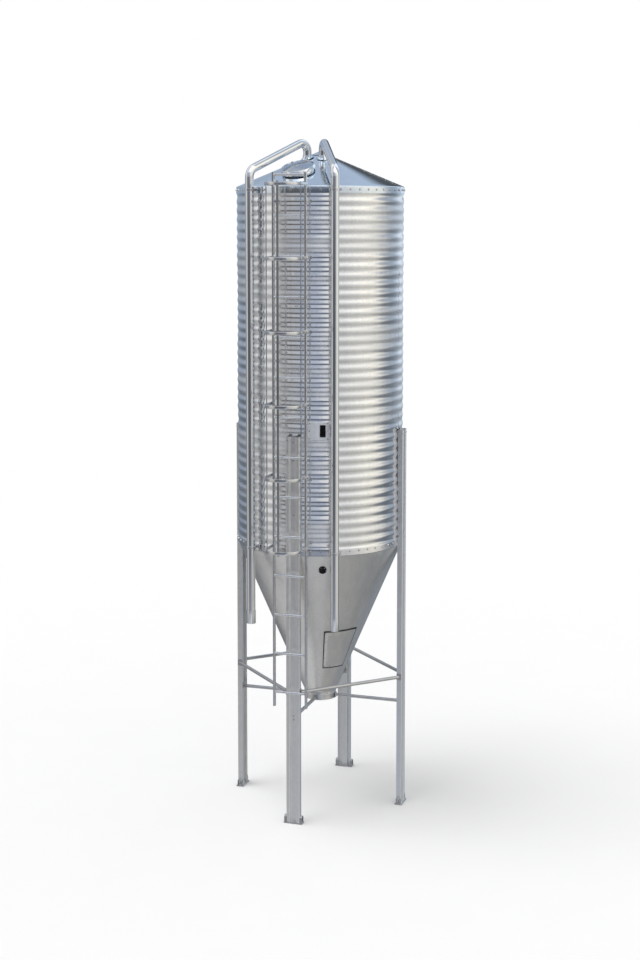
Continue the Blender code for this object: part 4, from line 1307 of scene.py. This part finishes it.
def make_pipe(label, azimuth):
    """A pipe up the wall and over the roof, and the sleeve on its lower end."""
    joint_z = PIPE_BASE_Z + PIPE_END_LENGTH
    top_z = PIPE_KNEE_Z + ROOF_SLOPE * (PIPE_DISTANCE - PIPE_DROP)
    corners = [polar(PIPE_DISTANCE, azimuth, joint_z + 0.0005),
               polar(PIPE_DISTANCE, azimuth, PIPE_KNEE_Z), polar(PIPE_DROP, azimuth, top_z),
               polar(PIPE_DROP, azimuth, roof_z(PIPE_DROP) - 0.060)]
    path = rounded_path(corners, (PIPE_KNEE_BEND, PIPE_TOP_BEND), 14)
    add_piece(f"{label}_tube", [tube(path, PIPE_R - 0.001, 48, wall=PIPE_WALL)], bright_steel,
              [f"{label}_pipe"])
    outer, inner, length = PIPE_R + 0.0028, PIPE_R - 0.0045, PIPE_END_LENGTH - 0.0005
    sleeve = [(outer - 0.0015, length), (outer, length - 0.0015), (outer, 0.004),
              (outer - 0.0008, 0.0018), (outer - 0.0022, 0.0006), (inner + 0.0015, 0.0006),
              (inner, 0.002), (inner, length)]
    at = Matrix.Translation(polar(PIPE_DISTANCE, azimuth, PIPE_BASE_Z))
    add_piece(f"{label}_sleeve", [lathe(sleeve, 48, at)], bright_steel,
              [f"{label}_pipe_end"])
    for level, z in CLAMP_LEVELS.items():
        make_clamp(label, azimuth, level, z, WALL_R if level == "low" else ROOF_R)


def make_clamp(label, azimuth, level, z, wall):
    """A ring round a pipe with an arm to the wall, and two ears drawn together by a bolt."""
    turn = turned(azimuth)
    inner, outer, half, y = PIPE_R + 0.0006, PIPE_R + 0.0056, CLAMP_HEIGHT / 2, -PIPE_DISTANCE
    ring = [(inner, half - 0.001), (inner, -half + 0.001), (inner + 0.001, -half),
            (outer - 0.0015, -half), (outer, -half + 0.0015), (outer, half - 0.0015),
            (outer - 0.0015, half), (inner + 0.001, half)]
    parts = [lathe(ring, 48, turn @ Matrix.Translation((0.0, y, z))),
             soft_box((-0.004, y + outer - 0.0015, z - half + 0.003),
                      (0.004, -wall - 0.003, z + half - 0.003), 0.0012, turn),
             wall_foot(azimuth, z, 1.35, half, CLAMP_FOOT, wall)]
    places = []
    for side in (-1, 1):
        near, far = side * (outer - 0.001), side * (outer + 0.016)
        for ear_y in (y - 0.005, y + 0.005):
            parts.append(soft_box((min(near, far), ear_y - 0.0018, z - half + 0.002),
                                  (max(near, far), ear_y + 0.0018, z + half - 0.002),
                                  0.0008, turn))
        places.append((Vector((side * (outer + 0.008), y - 0.0068, z)), Vector((0.0, -1.0, 0.0))))
    places = turned_places(places, turn)
    places += [round_place(wall + 0.0038, azimuth + shift, z) for shift in (-0.8, 0.8)]
    add_piece(f"{label}_bracket_{level}", parts, bar_zinc,
              [f"{label}_clamp_{level}"])
    add_fasteners(f"{label}_bracket_bolts_{level}", bolts(places, CLAMP_BOLT))


# Studio

CAMERA_AZIMUTH = 17.792
CAMERA_DISTANCE = 18.673
CAMERA_HEIGHT = 7.0015
CAMERA_SIDESTEP = 0.0043      # to the left of the line through the axis of the bin
CAMERA_TILT = 5.679
CAMERA_LENS = 59.707
CAMERA_SHIFT_Y = -0.11508
FLOOR_R = 90.0
FLOOR_FADE = (5.0, 14.0)      # where the floor goes over into plain white
FILL_LEVEL = 0.73
KEY_AZIMUTH = -62.0
KEY_LEAN = 0.36               # away from straight above
KEY_WIDTH = 36.0
KEY_ENERGY = 1.22
WHITE = (1.0, 1.0, 1.0, 1.0)

# The studio's soft panels as (azimuth, colour), and their brightness as (elevation, level):
# round the sides, and to the front where a dark band runs along the horizon.
PANELS = ((-180.0, (0.66, 0.75, 0.86)), (-158.0, (0.34, 0.41, 0.51)), (-112.0, (0.30, 0.35, 0.43)),
          (-96.0, (0.44, 0.45, 0.47)), (-83.0, (0.49, 0.49, 0.50)), (-75.0, (0.72, 0.72, 0.72)),
          (-69.0, (0.98, 0.98, 0.97)), (-60.0, (0.96, 0.95, 0.94)), (-40.0, (0.92, 0.91, 0.90)),
          (-33.0, (0.50, 0.50, 0.50)), (-3.0, (0.48, 0.49, 0.52)), (3.0, (0.45, 0.50, 0.61)),
          (33.0, (0.46, 0.51, 0.62)), (42.0, (0.86, 0.86, 0.87)), (60.0, (0.92, 0.92, 0.91)),
          (75.0, (1.06, 1.05, 1.02)), (88.0, (1.22, 1.19, 1.09)), (104.0, (1.26, 1.22, 1.10)),
          (112.0, (1.18, 1.15, 1.06)), (123.0, (0.54, 0.56, 0.58)), (134.0, (0.33, 0.38, 0.45)),
          (148.0, (0.36, 0.42, 0.50)), (166.0, (0.70, 0.79, 0.90)), (180.0, (0.66, 0.75, 0.86)))
BROAD_LEVELS = ((-90.0, 0.46), (-34.0, 0.44), (-6.0, 0.74), (20.0, 1.06), (50.0, 1.2), (90.0, 1.0))
EDGE_LEVELS = ((-90.0, 0.42), (-34.0, 0.42), (-12.0, 0.52), (2.0, 1.18), (20.0, 1.18),
               (32.0, 1.50), (62.0, 1.50), (90.0, 1.0))
FRONT_LEVELS = ((-90.0, 0.90), (-34.0, 1.12), (-19.0, 1.06), (-10.5, 0.25), (0.5, 0.25),
                (10.0, 0.94), (30.0, 1.0), (38.0, 2.4), (90.0, 2.4))
# Where each of these holds, as (degrees, share).
EDGES = ((-108.0, 1.0), (-94.0, 0.0), (108.0, 0.0), (124.0, 1.0))
FRONT = ((-44.0, 0.0), (-34.0, 1.0), (32.0, 1.0), (40.0, 0.0))
GROUND = ((-56.0, 0.90), (-24.0, 0.0))
CEILING = ((66.0, 0.0), (80.0, 1.0))
BACKDROP_AZIMUTHS = ((-180.0, 1.0), (-164.0, 1.0), (-160.0, 0.0), (174.0, 0.0), (179.0, 1.0))
BACKDROP_HEIGHTS = ((1.0, 0.0), (4.0, 1.0), (24.0, 1.0), (33.0, 0.0))
GROUND_GLOW = ((-180.0, 0.56), (-110.0, 0.92), (-40.0, 0.90), (10.0, 0.66), (28.0, 0.52),
               (50.0, 0.42), (120.0, 0.45), (180.0, 0.56))
CEILING_COLOUR = (1.15, 1.15, 1.15)
BACKDROP_COLOUR = (0.09, 0.10, 0.11)
EDGE_SLANT = 0.7              # how far a panel's edge leans away from the horizon
HORIZON = 0.48                # height, as a share from below to above, that the edges lean from


def make_camera():
    data = bpy.data.cameras.new("camera")
    data.lens = CAMERA_LENS
    data.shift_y = CAMERA_SHIFT_Y
    data.clip_end = 200.0
    camera = new_object("camera", data)
    camera.location = (polar(CAMERA_DISTANCE, CAMERA_AZIMUTH, CAMERA_HEIGHT)
                       + polar(CAMERA_SIDESTEP, CAMERA_AZIMUTH - 90.0, 0.0)
                       + Vector((0.0, SILO_Y, 0.0)))
    camera.rotation_euler = (math.radians(90.0 - CAMERA_TILT), 0.0, math.radians(CAMERA_AZIMUTH))
    bpy.context.scene.camera = camera


def make_floor():
    bm = bmesh.new()
    bmesh.ops.create_circle(bm, cap_ends=True, segments=64, radius=FLOOR_R)
    mesh = bpy.data.meshes.new("studio_floor")
    bm.to_mesh(mesh)
    bm.free()
    floor = new_object("studio_floor", mesh)
    material, tree, shader = new_finish("pale_floor", Roughness=0.9, Specular_IOR_Level=0.0)
    tree.feed(shader["Base Color"], tree.mix(tree.noise((1.2, 1.2, 1.2), 5.0),
                                             (0.88, 0.88, 0.88), (0.90, 0.90, 0.90)))
    place = tree.add("ShaderNodeTexCoord").outputs["Object"]
    distance = tree.add("ShaderNodeVectorMath", {0: place}, operation="LENGTH").outputs["Value"]
    white = tree.add("ShaderNodeEmission", {"Color": WHITE, "Strength": 1.0})
    nodes = material.node_tree.nodes
    faded = tree.add("ShaderNodeMixShader", {0: tree.smooth_step(distance, *FLOOR_FADE),
                                             1: nodes["Principled BSDF"].outputs[0],
                                             2: white.outputs[0]})
    tree.feed(nodes["Material Output"].inputs["Surface"], faded.outputs[0])
    mesh.materials.append(material)
    floor.visible_glossy = False


def ramp(tree, share, stops, low):
    """A colour ramp over degrees from low to -low. A stop's value is a colour or a level."""
    node = tree.add("ShaderNodeValToRGB", {"Fac": share})
    elements = node.color_ramp.elements
    while len(elements) < len(stops):
        elements.new(0.5)
    for element, (degrees, value) in zip(elements, stops):
        element.position = (degrees - low) / (-2.0 * low)
        element.color = (*value, 1.0) if isinstance(value, tuple) else (value, value, value, 1.0)
    return node.outputs[0]


def make_studio():
    """What the steel mirrors, what lights it softly, and the plain white behind it."""
    world = bpy.data.worlds.new("studio")
    bpy.context.scene.world = world
    world.use_nodes = True
    world.node_tree.nodes.clear()
    tree = Tree(world.node_tree)
    way = tree.add("ShaderNodeSeparateXYZ", {
        0: tree.add("ShaderNodeTexCoord").outputs["Generated"]}).outputs
    turn = tree.math("ARCTAN2", way[0], tree.math("MULTIPLY", way[1], -1.0))
    round_share = tree.math("MULTIPLY_ADD", turn, 1.0 / math.tau, 0.5)
    height_share = tree.math("MULTIPLY_ADD", tree.math("ARCSINE", way[2]), 1.0 / math.pi, 0.5)
    away = tree.math("ABSOLUTE", tree.math("SUBTRACT", height_share, HORIZON))
    lean = tree.math("MULTIPLY", away, EDGE_SLANT / 2.0)

    def around(stops, share=round_share):
        return ramp(tree, share, stops, -180.0)

    def upwards(stops):
        return ramp(tree, height_share, stops, -90.0)

    level = tree.mix(around(EDGES), upwards(BROAD_LEVELS), upwards(EDGE_LEVELS))
    level = tree.mix(around(FRONT), level, upwards(FRONT_LEVELS))
    panels = around(PANELS, tree.math("ADD", round_share, lean))
    lit = tree.mix(1.0, panels, level, "MULTIPLY")
    lit = tree.mix(upwards(GROUND), lit, around(GROUND_GLOW))
    lit = tree.mix(upwards(CEILING), lit, CEILING_COLOUR)
    backdrop = tree.math("MULTIPLY", around(BACKDROP_AZIMUTHS), upwards(BACKDROP_HEIGHTS))
    lit = tree.mix(backdrop, lit, BACKDROP_COLOUR)

    def background(colour, strength=1.0):
        return tree.add("ShaderNodeBackground", {"Color": colour, "Strength": strength}).outputs[0]

    rays = tree.add("ShaderNodeLightPath").outputs
    choice = tree.add("ShaderNodeMixShader", {0: rays["Is Diffuse Ray"], 1: background(lit),
                                              2: background(WHITE, FILL_LEVEL)})
    choice = tree.add("ShaderNodeMixShader", {0: rays["Is Camera Ray"], 1: choice.outputs[0],
                                              2: background(WHITE)})
    out = tree.add("ShaderNodeOutputWorld", {"Surface": choice.outputs[0]})
    out.is_active_output = True


def make_key_light():
    data = bpy.data.lights.new("soft_key", "SUN")
    data.energy = KEY_ENERGY
    data.angle = math.radians(KEY_WIDTH)
    key = new_object("soft_key", data)
    source = polar(KEY_LEAN, KEY_AZIMUTH, 1.0).normalized()
    key.rotation_euler = source.to_track_quat("Z", "Y").to_euler()
    key.visible_glossy = False


make_camera()
make_wall()
make_roof()
make_manhole()
make_band_bolts()
make_hopper()
make_outlet()
make_hatch()
make_level_window()
make_sight_glass()
make_legs()
make_feet()
make_ring_braces()
make_outlet_braces()
make_ladder()
make_cage()
for pipe, pipe_azimuth in PIPES.items():
    make_pipe(pipe, pipe_azimuth)
make_floor()
make_studio()
make_key_light()
bpy.context.scene.view_settings.view_transform = "Standard"
